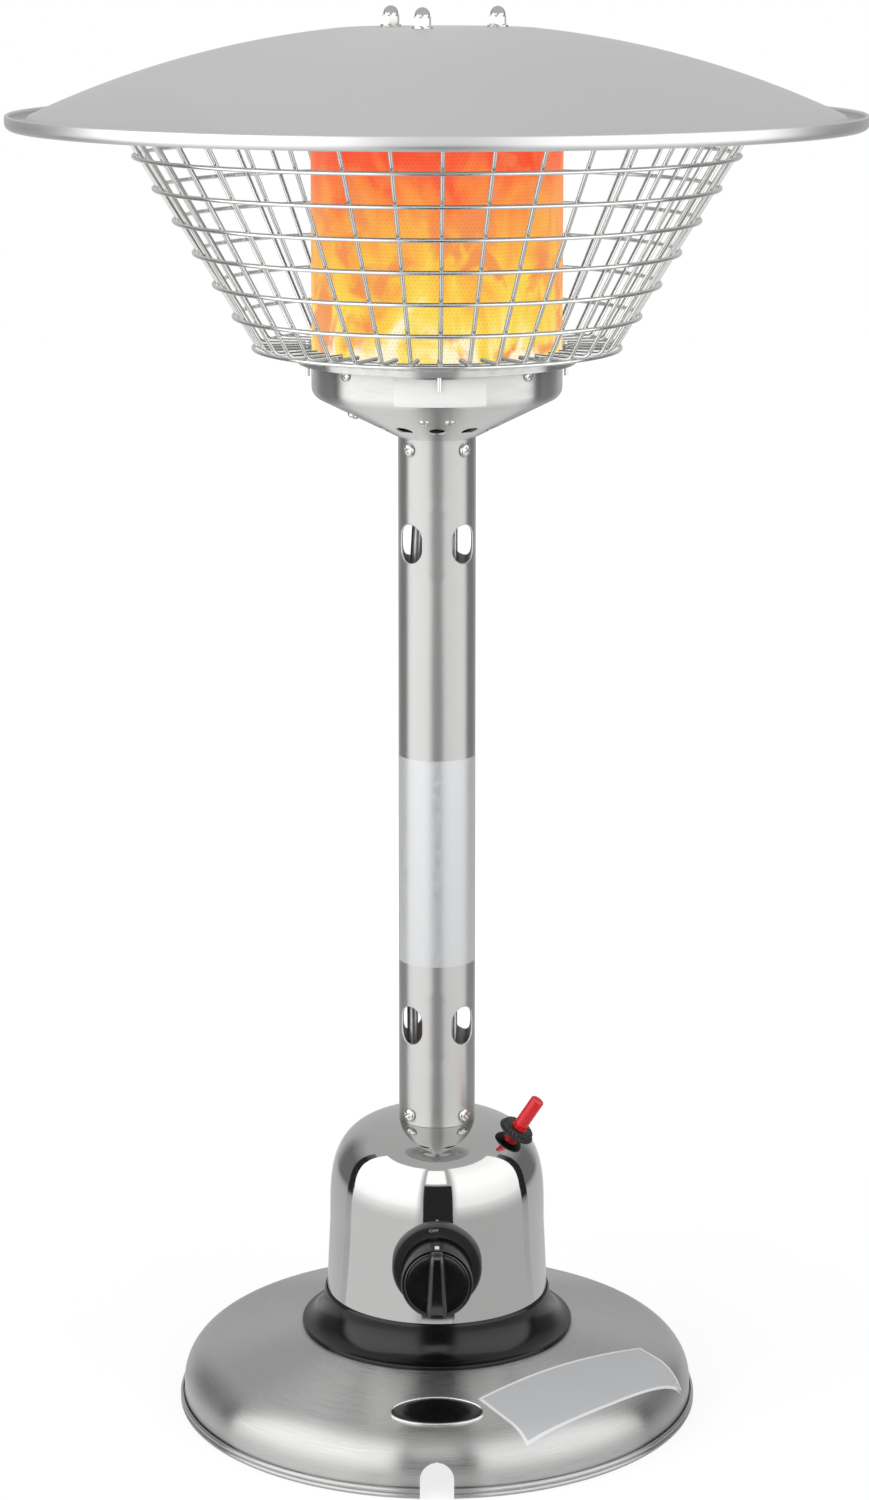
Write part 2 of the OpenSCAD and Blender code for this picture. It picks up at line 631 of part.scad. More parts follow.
stud_nut_h = stud_d * nut_height_ratio;
stud_head_h = 4;
module hood_studs() color("gray") stud_places() {
    translate([0, 0, emitter_top - stud_head_h])
        cylinder(d = stud_d * nut_ratio / cos(30), h = stud_head_h, $fn = 6);
    translate([0, 0, emitter_top]) cylinder(d = stud_d, h = hood_top + washer_t + acorn_hex_h - emitter_top);
}
module stud_nuts() color("gray") stud_places() {
    translate([0, 0, cap_top]) hex_nut(stud_d);
    translate([0, 0, hood_low - stud_nut_h]) hex_nut(stud_d);
}
module hood_washers() color("gainsboro") stud_places() translate([0, 0, hood_top]) difference() {
    cylinder(d = stud_d * washer_ratio, h = washer_t);
    translate([0, 0, -1]) cylinder(d = stud_d + 2 * screw_gap, h = washer_t + 2);
}
module acorn_nuts() color("gainsboro") stud_places() translate([0, 0, hood_top + washer_t]) difference() {
    union() {
        cylinder(d = stud_d * nut_ratio / cos(30), h = acorn_hex_h, $fn = 6);
        translate([0, 0, acorn_hex_h]) rotate_extrude() intersection() {
            circle(acorn_dome_r);
            square(acorn_dome_r);
        }
    }
    translate([0, 0, -1]) cylinder(d = stud_d + 2 * run, h = acorn_hex_h + 2);
}

// Burner: a plate on the ledge of the flange, a mixing tube and a ported head
plate_t = 1.5;
plate_low = flange_low + sheet_t;
plate_top = plate_low + plate_t;
mixer_r = mixer_d / 2;
mixer_drop = 8;
mixer_rise = 19;
mixer_low = plate_low - mixer_drop;
mixer_top = plate_top + mixer_rise;
pilot_in = 23.35;
pilot_x = flange_ring_r - pilot_in;
pilot_step = 12;
pilot_hole_ds = [7, 6, 10];
air_hole_n = 6;
air_hole_r = 36;
air_hole_d = 14;

module burner_plate() color("gray") difference() {
    translate([0, 0, plate_low]) cylinder(r = flange_ring_r - sheet_t - nest, h = plate_top - plate_low);
    translate([0, 0, plate_low]) drill(mixer_d + 2 * nest);
    for (i = [0:air_hole_n - 1]) rotate([0, 0, 180 * (2 * i + 1) / air_hole_n])
        translate([0, air_hole_r, plate_low]) drill(air_hole_d);
    for (i = [0:2]) translate([pilot_x, (i - 1) * pilot_step, plate_low]) drill(pilot_hole_ds[i]);
}

mixer_flange_w = 7;
mixer_flange_h = 1.5;
module mixing_tube() color("gray") rotate_extrude() union() {
    ring(mixer_r - sheet_t, mixer_r, mixer_low, mixer_top);
    ring(mixer_r - sheet_t, mixer_r + mixer_flange_w, plate_top, plate_top + mixer_flange_h);
}

burner_r = pilot_x - burner_gap;
burner_low = mixer_top - 7;
burner_skirt = 8;
burner_crown = 3;
port_d = 4;
module burner_head() color("dimgray") difference() {
    rotate_extrude() polygon([[mixer_r + nest, burner_low - burner_skirt],
        [mixer_r + nest, burner_low + sheet_t], [burner_r - sheet_t, burner_low + sheet_t],
        [burner_r - sheet_t, burner_low + burner_h - sheet_t],
        [0, burner_low + burner_h + burner_crown - sheet_t], [0, burner_low + burner_h + burner_crown],
        [burner_r, burner_low + burner_h], [burner_r, burner_low], [mixer_r + nest + sheet_t, burner_low],
        [mixer_r + nest + sheet_t, burner_low - burner_skirt]]);
    for (i = [0:port_n - 1]) on_wall(360 * i / port_n, burner_r, burner_low + burner_h / 2) drill(port_d);
}

// Jet: a bent strip screwed inside the funnel, and the brass holder that it carries
arm_rise = 13;
arm_z = post_top + arm_rise;
arm_t = 1.5;
arm_edge = 3;
arm_w = 2 * (funnel_screw_r * sin(funnel_screw_turns[1]) + arm_edge);
arm_back = 12;
tab_up = 4;
tab_gap = 1.3;
// The strip runs level from the axis and bends where it meets a line beside the inner face of the funnel
tab_offset = (sheet_t + tab_gap + arm_t) / cos(bowl_slope);
arm_bend_r = post_d / 2 + (arm_rise + arm_t - tab_offset) / tan(bowl_slope);
tab_end_r = funnel_screw_r + tab_up;
arm_path = [[-arm_back, arm_z + arm_t], [arm_bend_r, arm_z + arm_t],
    [tab_end_r, arm_z + arm_t + (tab_end_r - arm_bend_r) * tan(bowl_slope)]];
jet_hex_d = 16;
jet_hex_h = 7;
jet_stub_d = 10;
jet_stub_l = 9;
jet_tip_d = 8;
jet_tip_l = 5;
jet_bore_d = 4;
jet_hole_d = 1.5;
module jet_bracket() color("gray") difference() {
    rotate([90, 0, -90]) linear_extrude(arm_w, center = true) polygon(sheet(arm_path, arm_t));
    translate([0, 0, arm_z]) drill(jet_stub_d + 2 * screw_gap);
    for (i = [0:1]) on_funnel(funnel_screw_turns[i], funnel_screw_r) drill(small_screw_d + 2 * screw_gap);
}

module jet_holder() color("goldenrod") difference() {
    union() {
        translate([0, 0, arm_z + arm_t]) cylinder(d = jet_hex_d, h = jet_hex_h, $fn = 6);
        translate([0, 0, arm_z - jet_stub_l]) cylinder(d = jet_stub_d, h = jet_stub_l + arm_t);
        translate([0, 0, arm_z + arm_t + jet_hex_h]) cylinder(d = jet_tip_d, h = jet_tip_l);
    }
    translate([0, 0, arm_z - jet_stub_l - 1]) cylinder(d = jet_bore_d, h = jet_stub_l + jet_hex_h);
    translate([0, 0, arm_z]) cylinder(d = jet_hole_d, h = arm_t + jet_hex_h + jet_tip_l + 1);
}

// Pilot: a small bracket on the plate that holds the pilot burner, the thermocouple and the electrode
shelf_z = plate_top + 14;
shelf_t = 1.5;
bracket_x = pilot_x + 10;
bracket_w = 36;
bracket_foot = 6;
shelf_w = 17;
pilot_low = plate_top + 3;
pilot_ds = [8, 5, 7];
pilot_tops = [10, 20, 16];
pilot_collar_w = 1.2;
pilot_collar_h = 2;
flame_hole_d = 3;
spark_rod_d = 2;
spark_rod_l = 6;
module pilot_bracket() color("gray") difference() {
    union() {
        translate([bracket_x - bracket_foot, -bracket_w / 2, plate_top])
            cube([bracket_foot + shelf_t, bracket_w, shelf_t]);
        translate([bracket_x, -bracket_w / 2, plate_top])
            cube([shelf_t, bracket_w, shelf_z + shelf_t - plate_top]);
        translate([bracket_x - shelf_w, -bracket_w / 2, shelf_z])
            cube([shelf_w + shelf_t, bracket_w, shelf_t]);
    }
    for (i = [0:2]) translate([pilot_x, (i - 1) * pilot_step, shelf_z]) drill(pilot_ds[i] + 2 * screw_gap);
}

// A round piece that hangs in the shelf by its collar
module shelf_piece(i) translate([pilot_x, (i - 1) * pilot_step, 0]) {
    translate([0, 0, pilot_low]) cylinder(d = pilot_ds[i], h = shelf_z + shelf_t + pilot_tops[i] - pilot_low);
    translate([0, 0, shelf_z + shelf_t]) cylinder(d = pilot_ds[i] + 2 * pilot_collar_w, h = pilot_collar_h);
}
module pilot_burner() color("goldenrod") difference() {
    shelf_piece(0);
    translate([pilot_x, -pilot_step, shelf_z + pilot_tops[0] - flame_hole_d]) rotate([0, -90, 0])
        cylinder(d = flame_hole_d, h = pilot_ds[0]);
}
module thermocouple_tip() color("peru") shelf_piece(1);
module ignition_electrode() color("white") {
    shelf_piece(2);
    translate([pilot_x, pilot_step, shelf_z + shelf_t + pilot_tops[2]])
        cylinder(d = spark_rod_d, h = spark_rod_l);
}

// Tubes and leads inside the post, each along its own route of points
gas_tube_d = 7;
thin_tube_d = 4;
lead_d = 3.2;
valve_front = 62;
valve_back = valve_front - valve_l;
valve_low = knob_z - valve_w / 2;
valve_top = knob_z + valve_w / 2;
valve_mid_y = -(valve_front + valve_back) / 2;
switch_w = 20;
switch_h = 30;
switch_drop = 16;
switch_back = 4;
gas_boss_h = 6;
pilot_boss_h = 5;
gas_port = [-12, valve_mid_y, valve_top + gas_boss_h];
pilot_port = [11, valve_mid_y, valve_top + pilot_boss_h];
switch_top = [0, -12, knob_z - switch_drop + switch_h];
jet_port = [0, 0, arm_z - jet_stub_l];
igniter_l = 52;
igniter_end_r = igniter_r - igniter_l * sin(igniter_tilt);
igniter_end_z = dome_top_z(igniter_r) - igniter_l * cos(igniter_tilt);
igniter_port = [igniter_end_r * sin(igniter_turn), -igniter_end_r * cos(igniter_turn), igniter_end_z];

// Straight ends of the routes, and how far from the ends of the post they bend
port_stub = 10;
jet_stub = 14;
pilot_stub = 12;
spark_stub = 6;
foot_bend = 8;
gas_bend_drop = 45;
lead_bend_drop = 20;
lead_knee_drop = 6;
lead_knee_rise = 14;
lead_knee_share = 0.6;
spark_loop = [-14, 12, -8];
spark_rise = 22;
// Where each tube and lead stands in the post
gas_at = [-16, 2];
pilot_at = [11, -2];
thermo_at = [9, 9];
spark_at = [0, 15];

// Each route ends straight, so the tube meets its ports square
function at_height(at, z) = [at[0], at[1], z];
function riser(port, at, high) = [port, port + [0, 0, port_stub], at_height(at, post_low - foot_bend),
    at_height(at, high)];
function to_pilot(i, at) = let (p = [pilot_x, (i - 1) * pilot_step, pilot_low])
    [at_height(at, post_top - lead_knee_drop), [lead_knee_share * p[0], p[1], post_top + lead_knee_rise],
    p - [0, 0, pilot_stub], p];

module gas_tube() color("silver") tube(concat(riser(gas_port, gas_at, post_top - gas_bend_drop),
    [jet_port - [0, 0, jet_stub], jet_port]), gas_tube_d);
module pilot_tube() color("peru") tube(concat(riser(pilot_port, pilot_at, post_top - lead_bend_drop),
    to_pilot(0, pilot_at)), thin_tube_d);
module thermocouple_lead() color("sienna")
    tube(concat(riser(switch_top, thermo_at, post_top - lead_bend_drop), to_pilot(1, thermo_at)), lead_d);
igniter_axis = [sin(igniter_tilt) * sin(igniter_turn), -sin(igniter_tilt) * cos(igniter_turn),
    cos(igniter_tilt)];
module igniter_lead() color("firebrick") tube(concat([igniter_port, igniter_port - spark_stub * igniter_axis,
    igniter_port + spark_loop, at_height(spark_at, igniter_end_z + spark_rise),
    at_height(spark_at, post_top - lead_bend_drop)], to_pilot(2, spark_at)), lead_d);

// Gas valve behind the knob: body, inlet, tilt switch, and the plunger and stem that the knob works
lug_d = 9;
lug_l = sqrt(pow(dome_wall_r(knob_z) - sheet_t, 2) - pow(bezel_screw_x + lug_d / 2, 2)) - valve_front - 0.4;
boss_l = 10;
bore_l = 32;
inlet_hex_h = 8;
inlet_hex_ratio = 1.35;
inlet_bore_ratio = 0.4;
gas_boss_d = 10;
pilot_boss_d = 7;
module gas_valve() color("darkgray") difference() {
    union() {
        translate([-valve_w / 2, -valve_front, valve_low]) cube([valve_w, valve_l, valve_w]);
        at_knob(-valve_front) cylinder(d = boss_d, h = boss_l);
        at_knob(-valve_front) both_sides(bezel_screw_x) cylinder(d = lug_d, h = lug_l);
        translate(gas_port - [0, 0, gas_boss_h]) cylinder(d = gas_boss_d, h = gas_boss_h);
        translate(pilot_port - [0, 0, pilot_boss_h]) cylinder(d = pilot_boss_d, h = pilot_boss_h);
    }
    at_knob(-valve_front) translate([0, 0, -bore_l]) cylinder(d = valve_bore_d, h = bore_l + boss_l + 1);
    at_knob(-valve_front) both_sides(bezel_screw_x) drill(small_screw_d + 2 * screw_gap);
}

inlet_z = valve_low - inlet_hex_h - inlet_l;
module inlet_fitting() color("goldenrod") translate([0, valve_mid_y, inlet_z]) difference() {
    union() {
        cylinder(d = inlet_d, h = inlet_l);
        translate([0, 0, inlet_l]) cylinder(d = inlet_d * inlet_hex_ratio, h = inlet_hex_h, $fn = 6);
    }
    translate([0, 0, -1]) cylinder(d = inlet_d * inlet_bore_ratio, h = inlet_l + inlet_hex_h - 2);
}

module tilt_switch() color("#303030") translate([-switch_w / 2, -valve_back, knob_z - switch_drop])
    cube([switch_w, valve_back - switch_back, switch_h]);

plunger_front = valve_front + 2;
plunger_l = 24;
collar_t = 1.2;
stem_front = 100;
stem_collar_d = stem_d + 3;
module valve_plunger() color("gray") at_knob(-plunger_front) translate([0, 0, -plunger_l]) difference() {
    cylinder(d = valve_bore_d - 2 * run, h = plunger_l);
    translate([0, 0, -1]) cylinder(d = stem_d + 2 * run, h = plunger_l + 2);
}

module valve_stem() color("darkgray") at_knob(0) {
    back = plunger_front - plunger_l - run - collar_t;
    translate([0, 0, back]) cylinder(d = stem_d, h = stem_front - back);
    translate([0, 0, back]) cylinder(d = stem_collar_d, h = collar_t);
    translate([0, 0, plunger_front + run]) cylinder(d = stem_collar_d, h = collar_t);
}

// Knob: a hollow cup with a tapered grip across its face
bezel_front = dome_wall_r(knob_z) + bezel_t;
knob_back = bezel_front + push_travel + 1.6;
knob_front = knob_back + knob_l;
knob_wall = 2;
knob_edge_r = 2;
hub_d = 14;
module knob_grip() linear_extrude(grip_h) intersection() {
    circle(d = knob_d - 2);
    polygon([[-grip_w / 2, -knob_d / 2], [grip_w / 2, -knob_d / 2], [grip_tip_w / 2, knob_d / 2],
        [-grip_tip_w / 2, knob_d / 2]]);
}
module control_knob() color("#181818") at_knob(0) difference() {
    union() {
        rotate_extrude() union() {
            difference() {
                polygon(concat([[0, knob_back], [knob_d / 2, knob_back]],
                    arc([knob_d / 2 - knob_edge_r, knob_front - knob_edge_r], knob_edge_r, 0, 90, 5),
                    [[0, knob_front]]));
                ring(0, knob_d / 2 - knob_wall, knob_back - 1, knob_front - 2 * knob_wall);
            }
            ring(0, hub_d / 2, knob_back + 1, knob_front - knob_wall);
        }
        translate([0, 0, knob_front]) knob_grip();
    }
    translate([0, 0, knob_back - 1]) cylinder(d = stem_d + 2 * touch, h = stem_front - knob_back + 1 + touch);
}

bezel_rim = 1.6;
bezel_bowl = 1;
counterbore_d = 8.4;
counterbore_h = 2.4;
bezel_depth = 20;
bezel_screw_l = 12;
module knob_bezel() color("#202020") difference() {
    at_knob(0) rotate_extrude() polygon([[boss_d / 2 + boss_gap, bezel_front - bezel_depth],
        [bezel_d / 2, bezel_front - bezel_depth], [bezel_d / 2, bezel_front - bezel_rim / 2],
        [bezel_d / 2 - bezel_rim / 2, bezel_front], [bezel_d / 2 - bezel_rim, bezel_front],
        [bezel_d / 2 - 2 * bezel_rim, bezel_front - bezel_bowl],
        [boss_d / 2 + boss_gap, bezel_front - bezel_bowl]]);
    rotate_extrude($fn = 180) polygon(concat([[0, post_low]], beside(dome_path, -nest), [[0, foot_z]]));
    at_knob(0) both_sides(bezel_screw_x) cylinder(d = small_screw_d + 2 * screw_gap, h = 2 * bezel_front);
    at_knob(bezel_bowl + counterbore_h - bezel_front) both_sides(bezel_screw_x)
        cylinder(d = counterbore_d, h = bezel_depth);
}

module bezel_screws() color("gray") at_knob(bezel_bowl + counterbore_h - bezel_front)
    both_sides(bezel_screw_x) pan_screw(small_screw_d, bezel_screw_l);

// Igniter: a threaded barrel through the shoulder of the dome, its collar nut and its push button
igniter_body_d = 17;
igniter_flange_z = -2.9;
barrel_top = nut_h + nut_t / 2;
button_l = button_h + 26;
nut_chamfer = 0.8;
button_chamfer = 0.8;
module igniter_body() color("crimson") at_igniter() difference() {
    union() {
        translate([0, 0, igniter_flange_z - 1]) cylinder(d = barrel_d, h = barrel_top - igniter_flange_z + 1);
        translate([0, 0, -igniter_l]) cylinder(d = igniter_body_d, h = igniter_l + igniter_flange_z);
    }
    translate([0, 0, button_h - button_l - button_travel - 1])
        cylinder(d = button_d + 2 * run, h = button_l + button_travel + 1);
}
module igniter_nut() color("#202020") at_igniter() translate([0, 0, nut_h - nut_t / 2]) difference() {
    rotate_extrude() polygon([[0, 0], [nut_d / 2 - nut_chamfer, 0], [nut_d / 2, nut_chamfer],
        [nut_d / 2, nut_t - nut_chamfer], [nut_d / 2 - nut_chamfer, nut_t], [0, nut_t]]);
    translate([0, 0, -1]) cylinder(d = barrel_d + 2 * run, h = nut_t + 2);
}
module igniter_button() color("red") at_igniter() translate([0, 0, button_h - button_l]) {
    cylinder(d = button_d, h = button_l - button_chamfer);
    translate([0, 0, button_l - button_chamfer])
        cylinder(d1 = button_d, d2 = button_d - 2 * button_chamfer, h = button_chamfer);
}

base_plate();
base_badge();
base_weight();
foot_bolts();
foot_nuts();
dome_cover();
collar_ring();
post_tube();
lower_post_screws();
upper_post_screws();
burner_bowl();
band_screws();
funnel_screws();
burner_flange();
emitter_screen();
emitter_cap();
guard_wires();
guard_rings();
hood_studs();
stud_nuts();
hood_washers();
acorn_nuts();
reflector_hood();
burner_plate();
mixing_tube();
burner_head();
jet_bracket();
jet_holder();
pilot_bracket();
pilot_burner();
thermocouple_tip();
ignition_electrode();
gas_tube();
pilot_tube();
thermocouple_lead();
igniter_lead();
gas_valve();
inlet_fitting();
tilt_switch();
valve_plunger();
valve_stem();
control_knob();
knob_bezel();
bezel_screws();
igniter_body();
igniter_nut();
igniter_button();
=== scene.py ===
import json
import math

import bmesh
import bpy
import numpy as np
from bpy.props import FloatProperty, FloatVectorProperty, IntProperty, PointerProperty
from mathutils import Matrix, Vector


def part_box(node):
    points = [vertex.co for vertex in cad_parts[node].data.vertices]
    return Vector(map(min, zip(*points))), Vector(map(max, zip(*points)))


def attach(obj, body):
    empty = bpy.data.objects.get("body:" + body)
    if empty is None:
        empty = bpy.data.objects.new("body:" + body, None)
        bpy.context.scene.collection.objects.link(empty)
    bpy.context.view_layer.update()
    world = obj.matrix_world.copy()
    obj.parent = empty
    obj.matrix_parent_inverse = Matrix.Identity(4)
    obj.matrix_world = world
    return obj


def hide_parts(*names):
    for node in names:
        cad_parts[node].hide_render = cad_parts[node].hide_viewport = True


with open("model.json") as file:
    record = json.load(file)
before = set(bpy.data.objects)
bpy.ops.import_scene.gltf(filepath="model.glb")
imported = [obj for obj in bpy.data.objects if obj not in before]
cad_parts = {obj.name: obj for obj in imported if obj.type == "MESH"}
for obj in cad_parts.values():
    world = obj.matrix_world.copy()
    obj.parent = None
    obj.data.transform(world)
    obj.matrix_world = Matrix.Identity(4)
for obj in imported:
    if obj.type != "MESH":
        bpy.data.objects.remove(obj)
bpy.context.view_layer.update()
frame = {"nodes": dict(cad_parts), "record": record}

bl_info = {
    "name": "Tabletop patio heater",
    "version": (1, 0, 0),
    "blender": (4, 5, 0),
    "location": "3D View > Sidebar > Heater",
    "description": "Dresses the packed solids of a tabletop patio heater with surfaces and finishes",
    "category": "Object",
}

# Shapes are worked out in millimetres and go into the meshes in metres
MM = 0.001
# Columns round a turned piece: the usual number, which the cells of the post and the bowl divide evenly, and
# the numbers for wide pieces, for the dome and the hood, for middling and small pieces and for the acorn nuts
TURNS = 192
WIDE_TURNS = 256
MIRROR_TURNS = 288
MID_TURNS = 128
SMALL_TURNS = 64
ACORN_TURNS = 72


def linear(code):
    """Linear colour of an sRGB hex code: v / 12.92 up to 0.04045, and above it ((v + 0.055) / 1.055) to the
    power 2.4."""
    value = np.array([int(code[i:i + 2], 16) for i in (0, 2, 4)]) / 255
    return tuple(np.where(value <= 0.04045, value / 12.92, ((value + 0.055) / 1.055) ** 2.4).tolist())


def level(node):
    """Lowest and highest Z of a CAD node, in millimetres."""
    low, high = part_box(node)
    return low.z / MM, high.z / MM


def reach(node):
    """Radius of a turned CAD node, from the X of its box, in millimetres."""
    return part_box(node)[1].x / MM


def length(name, text, value):
    """A length property whose default is given in millimetres."""
    return FloatProperty(name=name, description=text, default=value * MM, min=0, unit="LENGTH", precision=4)


def shade(name, text, code):
    """A colour property whose default is given as an sRGB hex code."""
    return FloatVectorProperty(name=name, description=text, default=linear(code), subtype="COLOR",
                               min=0, max=1)


def grey(name, text, value):
    """A brightness property between black and white."""
    return FloatProperty(name=name, description=text, default=value, min=0, max=1, subtype="FACTOR")


class HeaterSizes(bpy.types.PropertyGroup):
    """Sizes of the dressed pieces."""
    sheet: length("Steel sheet", "Thickness of the base, dome, bowl and flange", 1.2)
    base_radius: length("Base radius", "Radius over the rolled rim of the base", reach("base_plate"))
    rim_width: length("Rim width", "Distance from the skirt of the base to the outside of its rim", 2.7)
    notch_width: length("Notch width", "Width of the hose notch in the front of the base", 21)
    notch_height: length("Notch height", "Height of the hose notch", 22)
    dome_radius: length("Dome radius", "Radius where the wall of the dome turns into its shoulder", 69.6)
    dome_height: length("Dome top", "Height of the rounded top of the dome above its wall", 67.8)
    collar_radius: length("Collar radius", "Radius of the flared collar", reach("collar_ring"))
    post_radius: length("Post radius", "Outer radius of the post", reach("post_tube"))
    slot_width: length("Slot width", "Width of the slots in the post", 18.4)
    slot_length: length("Slot length", "Length of the slots in the post", 24.5)
    slot_inset: length("Slot inset", "Distance of the slot centres from the ends of the post", 66)
    bowl_radius: length("Bowl radius", "Radius of the band of the burner bowl", reach("burner_bowl"))
    vent_radius: length("Vent radius", "Radius of an air hole in the bowl", 5)
    vent_circle: length("Vent circle", "Radius of the circle of air holes", 40.5)
    emitter_radius: length("Emitter radius", "Outer radius of the emitter screen", reach("emitter_screen"))
    wire: length("Guard wire", "Diameter of the guard wire as drawn", 2.6)
    wire_count: IntProperty(name="Guard wires", description="Number of upright wires", default=40, min=8)
    ring_count: IntProperty(name="Guard rings", description="Number of rings up the side", default=8, min=2)
    hood_radius: length("Hood radius", "Radius over the rolled lip of the hood", reach("reflector_hood"))
    knob_radius: length("Knob radius", "Radius of the gas knob", 22.5)
    bezel_radius: length("Bezel radius", "Radius of the black ring behind the knob", 28.4)
    button_radius: length("Button radius", "Radius of the igniter button", 4.5)


class HeaterColours(bpy.types.PropertyGroup):
    """Colours of the finishes."""
    steel: shade("Stainless steel", "Brushed and polished stainless steel", "C9C9C8")
    wire: shade("Bright wire", "Plated wire of the guard", "E4E4E2")
    hood: shade("Spun aluminium", "Satin aluminium of the hood", "E4E4E4")
    zinc: shade("Zinc plate", "Zinc plated steel", "B4B5B2")
    black: shade("Black mouldings", "Knob, nut and collar", "0B0B0C")
    red: shade("Igniter red", "Igniter button and barrel", "D8141F")
    label: shade("Label film", "Plain label on the post", "D0D1D2")
    paper: shade("White label", "Plain label on the bowl", "F2F2F0")
    ink: shade("White print", "Marks on the knob and the bezel", "E8E8E6")
    glow_top: shade("Glow at the top", "Emitter near its cap", "FA4628")
    glow_middle: shade("Glow in the middle", "Emitter at half height", "FCA94F")
    glow_foot: shade("Glow at the foot", "Emitter near the flange", "FDDC58")


class StageLight(bpy.types.PropertyGroup):
    """Light and surroundings of the studio."""
    key: FloatProperty(name="Side lamps", description="Radiance of the two soft lamps", default=2.4, min=0)
    fill: FloatProperty(name="Sky", description="Level of the even light all round", default=0.6, min=0)
    front: grey("Front panel", "Brightness of the panel that the front mirrors", 0.03)
    wings: grey("Dark wings", "Brightness of the wings that the edges mirror", 0.03)
    sides: grey("Grey wings", "Brightness of the wings further round", 0.22)


def sizes():
    """All sizes by name: lengths in millimetres, counts as they are."""
    group = bpy.context.scene.heater_sizes
    values = {name: getattr(group, name) for name in HeaterSizes.__annotations__}
    return {name: v if isinstance(v, int) else v / MM for name, v in values.items()}


# Surfaces: a shell is an array of points and an array of four-cornered faces.

def full_circle(count):
    """Angles evenly spaced all round, from 0."""
    return np.linspace(0, 2 * np.pi, count, endpoint=False)


def unit(vectors):
    """Vectors brought to length 1."""
    return vectors / np.linalg.norm(vectors, axis=-1, keepdims=True)


def arc(centre, radius, start, end, count):
    """Points on a circle: centre + radius (cos a, sin a), with a from start to end in degrees."""
    angle = np.radians(np.linspace(start, end, count))
    return np.column_stack((centre[0] + radius * np.cos(angle), centre[1] + radius * np.sin(angle)))


def line(start, end, count):
    """Points evenly spaced from start to end, without the start itself."""
    return np.linspace(start, end, count + 1)[1:]


def beside(path, distance):
    """A path moved to the right of its direction: each point shifts along the normal of its tangent."""
    ahead = unit(np.gradient(path, axis=0))
    return path + distance * np.column_stack((ahead[:, 1], -ahead[:, 0]))


def grid(x, y, z):
    """Arrays of x, y and z as one grid of points."""
    return np.stack(np.broadcast_arrays(x, y, z), axis=-1)


def round_axis(radius, angle, height):
    """Points round the axis, with angles counted from the front: (r sin a, -r cos a, z)."""
    return grid(radius * np.sin(angle), -radius * np.cos(angle), height)


def grid_faces(rows, columns, close_rows, close_columns):
    """Faces between neighbours of a grid of points, joined round where a direction is closed."""
    index = np.arange(rows * columns).reshape(rows, columns)
    if close_rows:
        index = np.vstack((index, index[:1]))
    if close_columns:
        index = np.hstack((index, index[:, :1]))
    corners = index[:-1, :-1], index[:-1, 1:], index[1:, 1:], index[1:, :-1]
    return np.stack(corners, axis=-1).reshape(-1, 4)


def surface(points, close_rows=False, close_columns=True):
    """A shell from a grid of points."""
    return points.reshape(-1, 3), grid_faces(*points.shape[:2], close_rows, close_columns)


def join(*shells):
    """Several shells as one."""
    starts = np.cumsum([0] + [len(points) for points, _ in shells[:-1]])
    return np.vstack([p for p, _ in shells]), np.vstack([f + s for (_, f), s in zip(shells, starts)])


def turned(profile, loop=True, count=TURNS):
    """A profile of radii and heights carried round the axis."""
    return surface(round_axis(profile[:, :1], full_circle(count), profile[:, 1:]), loop)


def swept(path, radius, sides, side, closed=False):
    """A round section carried along a path: p + radius (cos b u + sin b v), with u square to the path and to
    the side vector, and v square to both. Open ends close in a pole."""
    ahead = unit(np.roll(path, -1, 0) - np.roll(path, 1, 0) if closed else np.gradient(path, axis=0))
    u = unit(np.cross(ahead, side))
    v = np.cross(u, ahead)
    radius = np.full(len(path), float(radius))
    if not closed:
        path, u, v = (np.pad(a, ((1, 1), (0, 0)), mode="edge") for a in (path, u, v))
        radius = np.pad(radius, 1)
    b = full_circle(sides)[None, :, None]
    points = path[:, None] + radius[:, None, None] * (np.cos(b) * u[:, None] + np.sin(b) * v[:, None])
    return surface(points, closed)


def copies(shell, turns, places):
    """A shell repeated: each copy is turned by a matrix and moved to a place."""
    points, faces = shell
    made = np.einsum("kij,nj->kni", turns, points) + places[:, None]
    steps = np.arange(len(places))[:, None, None] * len(points)
    return made.reshape(-1, 3), (faces + steps).reshape(-1, 4)


def spins(angles):
    """Matrices that turn about +Z by the angles."""
    c, s, o = np.cos(angles), np.sin(angles), np.zeros(len(angles))
    return np.stack((c, -s, o, s, c, o, o, o, o + 1), axis=-1).reshape(-1, 3, 3)


def axis_frame(outward, up):
    """Matrix whose third column points outward and whose second column is near up."""
    outward = unit(np.asarray(outward, float))
    right = unit(np.cross(up, outward))
    return np.column_stack((right, np.cross(outward, right), outward))


def wall_frames(degrees, tilt):
    """Matrices that stand a piece on a wall round the axis, its +Z outwards and tipped down by a tilt in
    degrees."""
    a, t = np.radians(degrees), math.radians(tilt)
    outward = grid(np.cos(t) * np.sin(a), -np.cos(t) * np.cos(a), -np.sin(t))
    return np.array([axis_frame(o, (0, 0, 1)) for o in outward])


def punched(shell, start, axis, radius, depth):
    """Drops the faces inside a round hole and moves the points round it onto its edge."""
    points, faces = shell
    along = (points - start) @ axis
    across = points - start - along[:, None] * axis
    far = np.linalg.norm(across, axis=1)
    inside = (far < radius) & (np.abs(along) < depth)
    kept = faces[~inside[faces].all(axis=1)]
    rim = np.zeros(len(points), bool)
    rim[kept] = True
    rim &= inside
    points = points.copy()
    points[rim] += across[rim] * (radius / far[rim] - 1)[:, None]
    return points, kept


FINISHES = {}


def hand_over(name, mesh, finish, body="heater"):
    """An object of a mesh, with its finish. The frame is told its body."""
    mesh.materials.append(FINISHES[finish])
    piece = bpy.data.objects.new(name, mesh)
    bpy.context.scene.collection.objects.link(piece)
    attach(piece, body)
    return piece


